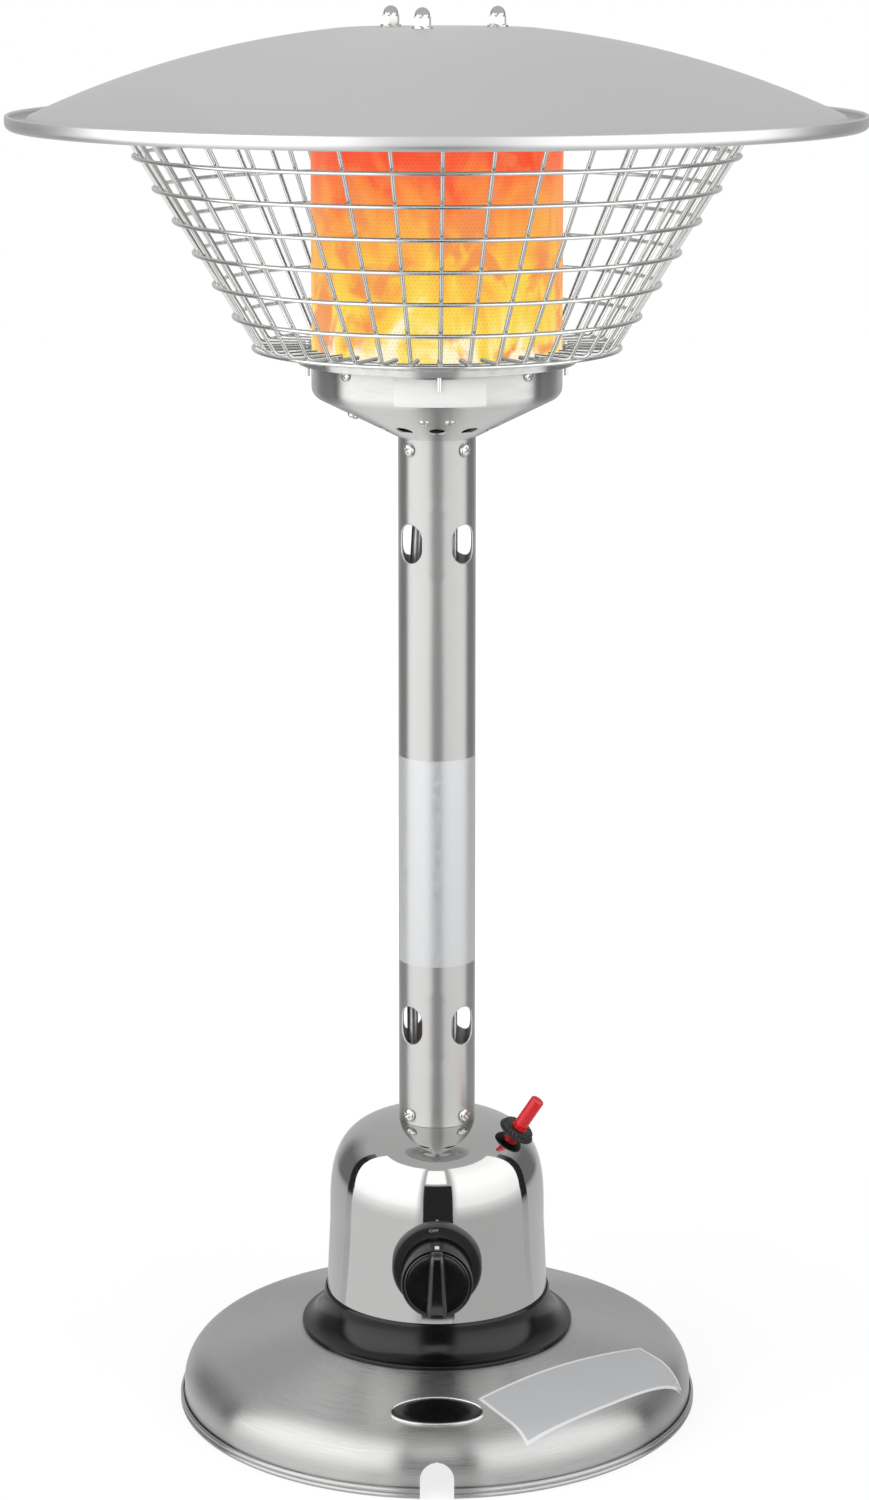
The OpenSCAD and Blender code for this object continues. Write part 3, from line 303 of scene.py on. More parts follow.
def make_piece(name, shell, finish, node=None, body="heater", sharp=35):
    """Puts a shell into a mesh, closes its seams and poles, and hands it to the frame, in place of a CAD node
    where one is given."""
    seam, sliver = 2e-6, 1e-7
    points, faces = shell
    used, faces = np.unique(faces, return_inverse=True)
    mesh = bpy.data.meshes.new(name)
    mesh.from_pydata(points[used] * MM, [], faces.reshape(-1, 4))
    made = bmesh.new()
    made.from_mesh(mesh)
    bmesh.ops.remove_doubles(made, verts=made.verts, dist=seam)
    bmesh.ops.dissolve_degenerate(made, edges=made.edges, dist=sliver)
    bmesh.ops.recalc_face_normals(made, faces=made.faces)
    made.to_mesh(mesh)
    made.free()
    mesh.polygons.foreach_set("use_smooth", np.ones(len(mesh.polygons), bool))
    mesh.set_sharp_from_angle(angle=math.radians(sharp))
    piece = hand_over(name, mesh, finish, body)
    if node:
        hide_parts(node)
    return piece


# Materials

def add(tree, kind, links=None, values=None, **settings):
    """Adds a node, sets its attributes and input values, and links its inputs to other nodes' outputs."""
    node = tree.nodes.new(kind)
    for name, value in settings.items():
        setattr(node, name, value)
    for name, value in (values or {}).items():
        node.inputs[name].default_value = value
    for name, source in (links or {}).items():
        tree.links.new(source, node.inputs[name])
    return node


def start_finish(name, colour, metallic, roughness, **sockets):
    """A new material with its shader: constant values go on the shader's own sockets."""
    made = bpy.data.materials.new(name)
    made.use_nodes = True
    shader = made.node_tree.nodes["Principled BSDF"]
    values = {"Base Color": (*colour, 1), "Metallic": metallic, "Roughness": roughness, **sockets}
    for socket, value in values.items():
        shader.inputs[socket].default_value = value
    return made, made.node_tree, shader


def vary(tree, shader, grain, colour, colour_change, roughness, roughness_change, depth, rings=None,
         detail=4):
    """Varies a finish: a noise of 35 mm changes the colour, and a fine one of the given grain in millimetres
    changes the roughness and the height. On ring coordinates the fine noise changes the colour as well."""
    place = add(tree, "ShaderNodeTexCoord").outputs["Object"]
    fine = add(tree, "ShaderNodeTexNoise", {"Vector": rings or place},
               {"Scale": 1 if rings else 1 / (grain * MM), "Detail": detail, "Roughness": 0.6})
    patchy = fine if rings else add(tree, "ShaderNodeTexNoise", {"Vector": place},
                                    {"Scale": 1 / (35 * MM), "Detail": 3})
    mixed = add(tree, "ShaderNodeMix", {"Factor": patchy.outputs["Fac"]}, data_type="RGBA")
    for socket, share in ((6, 1 - colour_change), (7, 1 + colour_change)):
        mixed.inputs[socket].default_value = (*[min(1, c * share) for c in colour], 1)
    tree.links.new(mixed.outputs[2], shader.inputs["Base Color"])
    rough = add(tree, "ShaderNodeMapRange", {"Value": fine.outputs["Fac"]},
                {"From Min": 0.3, "From Max": 0.7, "To Min": roughness - roughness_change,
                 "To Max": roughness + roughness_change})
    tree.links.new(rough.outputs["Result"], shader.inputs["Roughness"])
    bump = add(tree, "ShaderNodeBump", {"Height": fine.outputs["Fac"]},
               {"Strength": 1, "Distance": depth * MM})
    tree.links.new(bump.outputs["Normal"], shader.inputs["Normal"])


def ring_coordinates(tree, width, turns):
    """Coordinates that run long round the axis and short across it, so that noise drawn on them looks like
    scratches of the given width in millimetres: (cos a, sin a) times turns, and (z - r) / width."""
    place = add(tree, "ShaderNodeTexCoord").outputs["Object"]
    parts = add(tree, "ShaderNodeSeparateXYZ", {"Vector": place})
    flat = add(tree, "ShaderNodeCombineXYZ", {"X": parts.outputs["X"], "Y": parts.outputs["Y"]})
    round_it = add(tree, "ShaderNodeVectorMath", {0: flat.outputs["Vector"]}, operation="NORMALIZE")
    stretched = add(tree, "ShaderNodeVectorMath", {0: round_it.outputs["Vector"]}, {"Scale": turns},
                    operation="SCALE")
    radius = add(tree, "ShaderNodeVectorMath", {0: flat.outputs["Vector"]}, operation="LENGTH")
    across = add(tree, "ShaderNodeMath", {0: parts.outputs["Z"], 1: radius.outputs["Value"]},
                 operation="SUBTRACT")
    counted = add(tree, "ShaderNodeMath", {0: across.outputs["Value"]}, {1: 1 / (width * MM)},
                  operation="MULTIPLY")
    lifted = add(tree, "ShaderNodeCombineXYZ", {"Z": counted.outputs["Value"]})
    placed = add(tree, "ShaderNodeVectorMath", {0: stretched.outputs["Vector"], 1: lifted.outputs["Vector"]},
                 operation="ADD")
    return placed.outputs["Vector"]


def ringed_metal(name, colour, roughness, anisotropy, width, turns, colour_change, roughness_change):
    """Metal worked with fine rings round the axis, drawn at a width in millimetres, so that its highlights
    stretch across them."""
    made, tree, shader = start_finish(name, colour, 1, roughness, Anisotropic=anisotropy,
                                      **{"Anisotropic Rotation": 0.25})
    vary(tree, shader, width, colour, colour_change, roughness, roughness_change, 0.003,
         ring_coordinates(tree, width, turns))
    tangent = add(tree, "ShaderNodeTangent", direction_type="RADIAL", axis="Z")
    tree.links.new(tangent.outputs["Tangent"], shader.inputs["Tangent"])
    return made


def brushed_stainless(colours, name="brushed_stainless", roughness=0.46, anisotropy=1.0, painted_brightness=1.0, width=0.5):
    """Stainless steel sheet turned against an abrasive belt: fine rings and stretched highlights. The real
    scratches are 0.05 mm wide and are drawn 0.5 mm wide or more, so that they show. A painted brightness
    above or below 1 gives a lighter or darker copy of the same steel, as painted light or painted shade."""
    return ringed_metal(name, [c * painted_brightness for c in colours.steel], roughness, anisotropy, width, 5, 0.05, 0.05)


def polished_stainless(colours):
    """Deep drawn stainless steel polished to a mirror: sharp reflections with a slight waviness from drawing,
    about 40 mm long, and hairline wipe marks."""
    made, tree, shader = start_finish("mirror_polished_stainless", colours.steel, 1, 0.045)
    vary(tree, shader, 40, colours.steel, 0.02, 0.05, 0.02, 0.05, detail=1)
    return made


def spun_aluminium(colours):
    """Aluminium sheet spun on a lathe and clear satin finished: close rings, soft broad highlights. The real
    rings are 0.2 mm apart and are drawn 0.8 mm apart."""
    return ringed_metal("satin_spun_aluminium", colours.hood, 0.42, 0.35, 0.8, 4, 0.02, 0.04)


def grained(name, code, metallic, roughness, grain, depth, change=0.06, **sockets):
    """A finish whose grain is a plain noise of a real size in millimetres."""
    colour = linear(code) if isinstance(code, str) else tuple(code)
    made, tree, shader = start_finish(name, colour, metallic, roughness, **sockets)
    vary(tree, shader, grain, colour, change, roughness, min(0.08, roughness / 2), depth)
    return made


def knob_plastic(colours):
    """Black ABS from a polished mould, so the edges of the face and the grip draw bright lines. The flank
    behind them is blasted and stays black: the gloss fades out over a millimetre of depth."""
    polished, blasted = -102.3, -101.3
    made, tree, shader = start_finish("polished_black_abs", colours.black, 0, 0.15)
    vary(tree, shader, 0.45, colours.black, 0.1, 0.15, 0.05, 0.002)
    place = add(tree, "ShaderNodeTexCoord").outputs["Object"]
    parts = add(tree, "ShaderNodeSeparateXYZ", {"Vector": place})
    gloss = add(tree, "ShaderNodeMapRange", {"Value": parts.outputs["Y"]},
                {"From Min": polished * MM, "From Max": blasted * MM, "To Min": 1.0, "To Max": 0.06})
    tree.links.new(gloss.outputs["Result"], shader.inputs["Specular IOR Level"])
    return made


def glowing_screen(colours):
    """Perforated steel screen heated by gas flames: red near the cap, orange in the middle, yellow at the
    foot, with flame tongues 25 mm wide. The real holes are 1.6 mm apart and are drawn 2.6 mm apart."""
    low, high = (z * MM for z in level("emitter_screen"))
    pitch, tongue, patch = 2.6, 25, 30
    made, tree, shader = start_finish("glowing_perforated_steel", linear("1C120D"), 0, 0.7,
                                      **{"Specular IOR Level": 0.1})
    place = add(tree, "ShaderNodeTexCoord").outputs["Object"]
    parts = add(tree, "ShaderNodeSeparateXYZ", {"Vector": place})
    height = add(tree, "ShaderNodeMapRange", {"Value": parts.outputs["Z"]},
                 {"From Min": low, "From Max": high})
    tall = add(tree, "ShaderNodeMapping", {"Vector": place}, {"Scale": (1, 1, 0.55)})
    tongues = add(tree, "ShaderNodeTexNoise", {"Vector": tall.outputs["Vector"]},
                  {"Scale": 1 / (tongue * MM), "Detail": 5, "Roughness": 0.55, "Distortion": 0.9})
    swing = add(tree, "ShaderNodeMath", {0: tongues.outputs["Fac"]}, {1: -0.5}, operation="ADD")
    # The flames flicker at the foot and leave the screen near the cap plain
    calm = add(tree, "ShaderNodeMapRange", {"Value": height.outputs["Result"]},
               {"To Min": 1.5, "To Max": 0.35})
    flicker = add(tree, "ShaderNodeMath", {0: swing.outputs["Value"], 1: calm.outputs["Result"]},
                  operation="MULTIPLY")
    swung = add(tree, "ShaderNodeMath", {0: flicker.outputs["Value"], 1: height.outputs["Result"]},
                operation="ADD")
    ramp = add(tree, "ShaderNodeValToRGB", {"Fac": swung.outputs["Value"]})
    stops = ramp.color_ramp.elements
    stops.remove(stops[1])
    stops[0].color = (*linear("FFF8D2"), 1)
    for position, colour in ((0.06, linear("FFEC8E")), (0.17, colours.glow_foot), (0.36, linear("FDC34E")),
                             (0.54, colours.glow_middle), (0.68, linear("FE8C46")), (0.79, linear("FC6640")),
                             (0.94, colours.glow_top)):
        stop = stops.new(position)
        stop.color = (*colour, 1)
    # Cooler orange patches about 30 mm wide
    patches = add(tree, "ShaderNodeTexNoise", {"Vector": place},
                  {"Scale": 1 / (patch * MM), "Detail": 3, "Distortion": 0.6})
    cool = add(tree, "ShaderNodeMapRange", {"Value": patches.outputs["Fac"]},
               {"From Min": 0.52, "From Max": 0.62, "To Max": 0.85})
    spotted = add(tree, "ShaderNodeMix", {"Factor": cool.outputs["Result"], 6: ramp.outputs["Color"]},
                  {7: (*linear("F58F55"), 1)}, data_type="RGBA")
    # Towards its edges the screen is seen at a slant and looks paler
    slant = add(tree, "ShaderNodeLayerWeight", values={"Blend": 0.35})
    pale = add(tree, "ShaderNodeMapRange", {"Value": slant.outputs["Facing"]},
               {"From Min": 0.25, "From Max": 0.9, "To Max": 0.35})
    shown = add(tree, "ShaderNodeMix", {"Factor": pale.outputs["Result"], 6: spotted.outputs[2]},
                {7: (*linear("FCC49A"), 1)}, data_type="RGBA")
    tree.links.new(shown.outputs[2], shader.inputs["Emission Color"])
    # Holes on a lattice of triangles: a whole number of them round the screen, each row half a hole further
    angle = add(tree, "ShaderNodeMath", {0: parts.outputs["X"], 1: parts.outputs["Y"]}, operation="ARCTAN2")
    number = round(2 * math.pi * reach("emitter_screen") / pitch)
    around = add(tree, "ShaderNodeMath", {0: angle.outputs["Value"]}, {1: number / (2 * math.pi)},
                 operation="MULTIPLY")
    rows = add(tree, "ShaderNodeMath", {0: parts.outputs["Z"]}, {1: 1 / (0.866 * pitch * MM)},
               operation="MULTIPLY")
    sheared = add(tree, "ShaderNodeMath", {0: rows.outputs["Value"], 2: around.outputs["Value"]}, {1: 0.5},
                  operation="MULTIPLY_ADD")
    lattice = add(tree, "ShaderNodeCombineXYZ", {"X": sheared.outputs["Value"], "Y": rows.outputs["Value"]})
    holes = add(tree, "ShaderNodeTexVoronoi", {"Vector": lattice.outputs["Vector"]},
                {"Scale": 1, "Randomness": 0}, voronoi_dimensions="2D")
    web = add(tree, "ShaderNodeMapRange", {"Value": holes.outputs["Distance"]},
              {"From Min": 0.22, "From Max": 0.36, "To Min": 0.9, "To Max": 1.0})
    tree.links.new(web.outputs["Result"], shader.inputs["Emission Strength"])
    bump = add(tree, "ShaderNodeBump", {"Height": web.outputs["Result"]},
               {"Strength": 1, "Distance": 0.3 * MM})
    tree.links.new(bump.outputs["Normal"], shader.inputs["Normal"])
    return made


def make_finishes():
    """All finishes by the record's slot, with a few of their own for labels and marks. The numbers of a
    grained one are metallic, roughness, grain and height in millimetres, and the change of colour."""
    c = bpy.context.scene.heater_colours
    FINISHES.update(
        brushed_steel=brushed_stainless(c),
        post_steel=brushed_stainless(c, "brushed_stainless_tube", 0.45, 0.9),
        # Painted shade: the base's steel is the same steel made darker, 0.92 of its colour
        base_steel=brushed_stainless(c, "brushed_stainless_pressing", 0.3, 1.0, 0.92, 1.0),
        # Painted light: the bowl's steel is the same steel made lighter, 1.2 of its colour, in place of its
        # highlights
        bowl_steel=brushed_stainless(c, "brushed_stainless_bowl", 0.38, 1.0, 1.2),
        polished_steel=polished_stainless(c),
        spun_aluminium=spun_aluminium(c),
        glowing_screen=glowing_screen(c),
        # Drawn wire, nickel plated after welding: bright, with soft marks along it
        bright_wire=grained("nickel_plated_wire", c.wire, 1, 0.2, 1.5, 0.01),
        # Cold headed steel, barrel polished and nickel plated: nearly a mirror
        screw_steel=grained("nickel_plated_screws", "D6D5D2", 1, 0.14, 0.8, 0.01),
        # Steel with a dull blue-grey zinc plate, spangled at about a millimetre
        zinc_steel=grained("zinc_plated_steel", c.zinc, 1, 0.34, 1.2, 0.01),
        # Steel that has been red hot: brown-grey scale in patches
        heated_steel=grained("heat_scaled_steel", "6A5F58", 0.8, 0.5, 1.5, 0.03, 0.2),
        # Annealed aluminium tube: dull white metal with handling marks
        soft_aluminium=grained("annealed_aluminium_tube", "C9CACB", 1, 0.38, 1.0, 0.01),
        # Die-cast aluminium: fine sand-like skin
        cast_aluminium=grained("die_cast_aluminium", "A9AAAB", 1, 0.5, 0.6, 0.05),
        # Grey cast iron under thin black paint: coarse sand grain
        cast_iron=grained("painted_cast_iron", "2B2B2B", 0, 0.6, 1.4, 0.15, 0.15),
        # Brass turned from bar: warm and bright
        brass=grained("turned_brass", "C9A24E", 1, 0.24, 0.8, 0.01),
        # Copper tube, slightly dull
        copper=grained("drawn_copper", "B8734F", 1, 0.3, 0.8, 0.01),
        # Unglazed alumina: matt white, fine grain
        white_ceramic=grained("unglazed_alumina", "E9E6DF", 0, 0.6, 0.5, 0.02, 0.03),
        # Moulded rubber, smooth: a clear but soft highlight and a light grain
        black_rubber=grained("moulded_black_rubber", c.black, 0, 0.2, 0.7, 0.004, 0.1,
                             **{"Specular IOR Level": 0.42}),
        # Injection moulded ABS with a spark-eroded grain of 0.45 mm
        black_plastic=grained("moulded_black_abs", c.black, 0, 0.36, 0.45, 0.008, 0.1,
                              **{"Specular IOR Level": 0.5}),
        knob_plastic=knob_plastic(c),
        # The bezel's mould is blasted, so its hollow scatters the light and looks dark grey
        bezel_plastic=grained("matt_black_abs", "38393B", 0, 0.42, 0.45, 0.01, 0.1),
        # Injection moulded glossy ABS: clear reflections on a deep colour
        red_plastic=grained("moulded_red_abs", c.red, 0, 0.16, 4, 0.003, 0.03),
        # Silicone rubber sleeve over a woven core: dull, slightly uneven
        red_lead=grained("silicone_sleeve", "8E2A22", 0, 0.45, 1.0, 0.03, 0.1),
        # Metallised polyester film, matt: silvery, with a slight orange peel from the glue
        film=grained("silver_polyester_film", c.label, 0.5, 0.36, 3.0, 0.01, 0.02),
        # White polyester film with a matt varnish, and the grey tint printed on it
        base_film=grained("matt_white_film", "E2E3E4", 0, 0.45, 3.0, 0.01, 0.02),
        base_tint=grained("grey_print_on_film", "B9BABC", 0, 0.45, 3.0, 0.01, 0.02),
        # Stamped brass, satin chrome plated: light all round
        badge_chrome=grained("satin_chrome_plate", "E2E2E0", 1, 0.3, 1.0, 0.005, 0.02),
        # Coated white paper: bright and matt
        paper=grained("coated_white_paper", c.paper, 0, 0.5, 0.8, 0.004, 0.015),
        # Stove enamel on a stamped plate: deep black gloss
        enamel=grained("black_stove_enamel", "101011", 0, 0.16, 3.0, 0.008, 0.1),
        # Pad-printed white ink: flat and opaque
        ink=grained("white_pad_print", c.ink, 0, 0.5, 0.5, 0.004, 0.02),
    )


# Shapes of the pieces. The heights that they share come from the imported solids.

SEAT = level("base_plate")[1]
POST_LOW, POST_TOP = level("post_tube")
BOWL_TOP = level("burner_bowl")[1]
FLANGE_TOP = level("emitter_screen")[0]
# Directions, in degrees from the front, of the slots and screws of the post and the band
CORNERS = np.array((45, 135, 225, 315))
POST_WALL = 1.2
# How far the necks of the dome and the bowl lie inside the post's outer face
NECK_INSET = 1.35

# The base falls from its seat as a cone that starts at SLOPE_R, and ends in a round shoulder
BASE_SLOPE = math.radians(13)
SLOPE_R = 90
SEAT_BEND = 30
SHOULDER = 25


def shoulder_centre(s):
    """Centre of the round shoulder of the base: its arc meets the cone and the skirt."""
    r = s["base_radius"] - s["rim_width"] - SHOULDER
    tip = r + SHOULDER * math.sin(BASE_SLOPE)
    return r, SEAT - (tip - SLOPE_R) * math.tan(BASE_SLOPE) - SHOULDER * math.cos(BASE_SLOPE)


def base_shell(s):
    """Base plate: seat, cone, round shoulder, skirt, deep gap and a rim of two stacked beads, turned round
    the axis. The columns start and end on the hose notch: at a height z they lie between the angles
    asin(w / r) and 360 - asin(w / r), where w is the half width of the notch there."""
    opening, bend_r, bead, gap_floor, columns = 58, 86.58, 1.6, 1.5, WIDE_TURNS + 1
    centre = shoulder_centre(s)
    skirt, rim = centre[0] + SHOULDER, s["base_radius"] - bead
    steep = 90 - math.degrees(BASE_SLOPE)
    outer = np.vstack(([[opening, SEAT]], arc((bend_r, SEAT - SEAT_BEND), SEAT_BEND, 90, steep, 8),
                       arc(centre, SHOULDER, steep, 0, 72),
                       line((skirt, centre[1]), (skirt, gap_floor + 0.4), 12)))
    gap = np.vstack((line((skirt, gap_floor), (rim - 0.1, gap_floor), 4),
                     line((rim, gap_floor), (rim, 4 * bead - 0.1), 16)))
    beads = np.vstack((arc((rim, bead), bead, -90, 75, 10), arc((rim, 3 * bead), bead, -75, 90, 10)))
    loop = np.vstack((outer, gap, beads[::-1], beside(outer, s["sheet"])[::-1]))
    r, z = loop[:, :1], loop[:, 1:]
    half = s["notch_width"] / 2
    rise = np.clip(z - (s["notch_height"] - half), 0, half)
    notch = np.arcsin(np.sqrt(half ** 2 - rise ** 2) / r)
    angle = notch + np.linspace(0, 1, columns) * (2 * np.pi - 2 * notch)
    points, faces = surface(round_axis(r, angle, z), True, False)
    # Both sides of the notch are closed by faces across the sheet
    row = np.arange(len(loop) // 2 - 1)
    row = row[np.maximum(loop[row, 1], loop[-2 - row, 1]) < s["notch_height"]]
    edge = np.stack((row, row + 1, len(loop) - 2 - row, len(loop) - 1 - row), axis=-1) * columns
    return points, np.vstack((faces, edge, edge[:, ::-1] + columns - 1))


# The dome: power of its rounded top, lean of its wall, and the height where they meet
DOME_POWER = 3.5
DOME_LEAN = math.tan(math.radians(2.6))
DOME_SHOULDER = 121


def dome_shell(s):
    """Dome: neck, rounded top r = R cos(a)^(2/p), z = H sin(a)^(2/p), leaning wall and foot flange, as a
    sheet turned round the axis."""
    foot, foot_r, neck_r = SEAT + s["sheet"], 84, s["post_radius"] - NECK_INSET
    last = math.acos((neck_r / s["dome_radius"]) ** (DOME_POWER / 2))
    # The points lie closer together towards the shoulder
    a = last * np.linspace(1, 0, 80) ** 1.6
    top = np.column_stack((s["dome_radius"] * np.cos(a) ** (2 / DOME_POWER),
                           DOME_SHOULDER + s["dome_height"] * np.sin(a) ** (2 / DOME_POWER)))
    wall_foot = (s["dome_radius"] + (DOME_SHOULDER - foot) * DOME_LEAN, foot)
    path = np.vstack(([[neck_r, level("dome_cover")[1]]], top, line(top[-1], wall_foot, 44),
                      line(wall_foot, (foot_r, foot), 6)))
    return turned(np.vstack((path, beside(path, s["sheet"])[::-1])), count=MIRROR_TURNS)


def dome_wall(s, z):
    """Outer radius of the dome at a height: the leaning wall, and R (1 - t^p)^(1/p) above the shoulder, where
    t is the share of the top's height."""
    wall = s["dome_radius"] + (DOME_SHOULDER - np.minimum(z, DOME_SHOULDER)) * DOME_LEAN
    over = np.clip((z - DOME_SHOULDER) / s["dome_height"], 0, 1)
    return wall * (1 - over ** DOME_POWER) ** (1 / DOME_POWER)


def collar_shell(s):
    """Collar: hollow quarter of an ellipse from the lip down to the rim, with rounded edges, turned round the
    axis. Inside it is hollow over the foot flange of the dome."""
    top, rim = level("collar_ring")[1], s["collar_radius"]
    lip, flare_high, bore, lip_round, rim_round = 73.26, 21.9, 71.86, 0.6, 0.9
    t = np.radians(np.linspace(0, 90, 40))
    flare = np.column_stack((rim - (rim - lip) * np.cos(t), top - flare_high * np.sin(t)))
    hollow = [[84.6, SEAT], [84.6, SEAT + 1.4], [82.1, SEAT + 3.5], [72.7, SEAT + 3.5]]
    return turned(np.vstack((
        [[bore, top - 0.5]], arc((72.5, top - lip_round), lip_round, 160, 30, 6), flare[2:-2],
        arc((rim - rim_round, flare[-1, 1] - rim_round), rim_round, 90, 0, 6), [[rim, SEAT]], hollow)),
        count=WIDE_TURNS)


def slot_outline(direction, half_width, half_straight):
    """Where rays from the middle of a slot meet its outline: the straight side if that lies between the round
    ends, else the round end, from the quadratic for a circle of the half width."""
    x, y = np.abs(direction[:, 0]), np.abs(direction[:, 1])
    side = half_width / np.maximum(x, 1e-9)
    lift = y * half_straight
    end = lift + np.sqrt(np.maximum(lift ** 2 - half_straight ** 2 + half_width ** 2, 0))
    return direction * np.where(y * side <= half_straight, side, end)[:, None]


def cell_rings(half_wide, half_high, wide, high, hole):
    """A cell with a hole, as rings of points from the border of the cell to the edge of the hole: the border
    has wide and high steps, and each ring is a mix of the border and the hole."""
    x, y = np.linspace(-1, 1, wide + 1), np.linspace(-1, 1, high + 1)
    border = np.vstack((np.column_stack((x[:-1], -np.ones(wide))), np.column_stack((np.ones(high), y[:-1])),
                        np.column_stack((x[:0:-1], np.ones(wide))),
                        np.column_stack((-np.ones(high), y[:0:-1]))))
    border = border * (half_wide, half_high)
    mix = np.array([0, 0.3, 0.6, 0.85, 1])[:, None, None]
    return border * (1 - mix) + hole(unit(border)) * mix


def holed_cell(half_wide, half_high, wide, high, hole, round_off, thickness):
    """Rings of a cell of a sheet: over the outer face to the hole, through the sheet and back over the inner
    face, with the depth of each ring. hole(grow) gives the outline of the hole grown by a length, which on
    both faces is the rounding of its edges."""
    size = half_wide, half_high, wide, high
    face = cell_rings(*size, hole(round_off))
    tight = cell_rings(*size, hole(0))[-1:]
    flat = np.zeros(len(face))
    depth = np.concatenate((flat, [round_off, thickness - round_off], flat + thickness))
    return np.vstack((face, tight, tight, face[::-1])), depth[:, None]


def tube_faces(radius, thickness, low, high, rows):
    """Profiles of a straight tube: its outer face going up, and its inner face coming down."""
    z = np.linspace(low, high, rows)
    return (np.column_stack((np.full(rows, radius), z)),
            np.column_stack((np.full(rows, radius - thickness), z[::-1])))


def post_shell(s):
    """Post: a plain tube whose wall carries two rows of four cells with slots. A cell point (x, y) goes to
    the angle x / r and the height y, on the outer and on the inner face, with rounded slot edges."""
    radius, half_high, round_off = s["post_radius"], 24, 0.5
    lower, upper = POST_LOW + s["slot_inset"], POST_TOP - s["slot_inset"]
    straight = (s["slot_length"] - s["slot_width"]) / 2

    def slot(grow):
        return lambda d: slot_outline(d, s["slot_width"] / 2 + grow, straight)

    rings, depth = holed_cell(math.pi / 4 * radius, half_high, TURNS // 4, 20, slot, round_off, POST_WALL)
    cells = [surface(round_axis(radius - depth, rings[..., 0] / radius + turn, rings[..., 1] + z))
             for z in (lower, upper) for turn in np.radians(CORNERS)]
    # The plain part at the foot closes there, the one at the top closes there, and the middle is two faces
    outside, inside = tube_faces(radius, POST_WALL, POST_LOW, lower - half_high, 5)
    middle = tube_faces(radius, POST_WALL, lower + half_high, upper - half_high, 5)
    head = tube_faces(radius, POST_WALL, upper + half_high, POST_TOP, 5)
    profiles = (np.vstack((inside, outside)), *middle, np.vstack(head))
    return join(*cells, *[turned(profile, False) for profile in profiles])


def screw_shell(diameter, shank):
    """Pan-head screw on a grid of radius and angle: a domed head with a cross recess whose depth falls from
    the middle to the ends of its arms, over a plain shank."""
    head, high, edge, chamfer = 0.875 * diameter, 0.5 * diameter, 0.32, 0.3
    arm_long, arm_half, arm_slope, arm_deep = 0.56 * head, 0.15 * head, 0.05 * head, 0.85 * high
    r = np.concatenate((np.linspace(0, 0.62, 16), [0.7, 0.78, 0.86, 0.93, 0.98, 1.0])) * head
    z = high * (edge + (1 - edge) * np.sqrt(np.clip(1 - (r / head) ** 2.6, 0, 1)))
    a = full_circle(SMALL_TURNS)
    x, y = r[:, None] * np.cos(a), r[:, None] * np.sin(a)
    along, across = np.maximum(np.abs(x), np.abs(y)), np.minimum(np.abs(x), np.abs(y))
    arm = np.clip(1 - along / arm_long, 0, 1) ** 0.7 * np.clip((arm_half - across) / arm_slope, 0, 1)
    top = grid(x, y, z[:, None] - arm_deep * arm)
    foot = np.array([[head, edge * high], [head, 0], [diameter / 2, 0], [diameter / 2, chamfer - shank],
                     [diameter / 2 - chamfer, -shank], [0, -shank]])
    return join(surface(top), turned(foot, False, SMALL_TURNS))


BOWL_SLOPE = math.radians(26.5)
VENTS = 12
# Half of the width, from the axis outwards, of the ring of cells that holds the vents
VENT_CELL = 9


def funnel(s, r):
    """Radius and height of the bowl's funnel at a radius."""
    return r, POST_TOP + (r - s["post_radius"]) * math.tan(BOWL_SLOPE)


def bowl_paths(s):
    """Outer face of the burner bowl: the neck and the funnel up to the ring of vents, and from there the
    funnel, a bend and the band."""
    post, band, bend, neck_long = s["post_radius"], s["bowl_radius"], 8, 30
    neck = post - NECK_INSET
    bend_z = POST_TOP + (bend + (band - bend - post) * math.sin(BOWL_SLOPE)) / math.cos(BOWL_SLOPE)
    low = np.vstack(([[neck, POST_TOP - neck_long], [neck, POST_TOP]],
                     line((neck, POST_TOP), funnel(s, post), 2),
                     line(funnel(s, post), funnel(s, s["vent_circle"] - VENT_CELL), 4)))
    high = np.vstack(([funnel(s, s["vent_circle"] + VENT_CELL)],
                      arc((band - bend, bend_z), bend, math.degrees(BOWL_SLOPE) - 90, 0, 16),
                      line((band, bend_z), (band, BOWL_TOP), 6)))
    return low, high


def bowl_shell(s):
    """Burner bowl: plain turned parts below and above a ring of cells with round vents. A cell point (x, y)
    lies y up the slope from the vent's middle and at the angle x / r."""
    half_turn, half_long, t = math.pi / VENTS, VENT_CELL / math.cos(BOWL_SLOPE), s["sheet"]
    vent_r, vent_z = funnel(s, s["vent_circle"])
    normal = np.array((math.sin(BOWL_SLOPE), -math.cos(BOWL_SLOPE)))

    def vent(grow):
        return lambda d: d * (s["vent_radius"] + grow)

    rings, depth = holed_cell(half_turn * vent_r, half_long, TURNS // VENTS, 12, vent, 0.35, t)
    x, y = rings[..., 0], rings[..., 1]
    r, z = vent_r + y * math.cos(BOWL_SLOPE), vent_z + y * math.sin(BOWL_SLOPE)
    # Points on the border keep the angles of the columns, so that they meet the plain parts
    border = (np.abs(x) > half_turn * vent_r - 1e-9) | (np.abs(y) > half_long - 1e-9)
    angle = x / np.where(border, vent_r, r)
    cells = [surface(round_axis(r - depth * normal[0], angle + turn, z - depth * normal[1]))
             for turn in np.arange(VENTS) * 2 * half_turn]
    low, high = bowl_paths(s)
    low_inside, high_inside = beside(low, -t), beside(high, -t)
    low_inside[-1] = low[-1] - t * normal
    high_inside[0] = high[0] - t * normal
    return join(turned(np.vstack((low[::-1], low_inside)), False),
                turned(np.vstack((high, high_inside[::-1])), False), *cells)


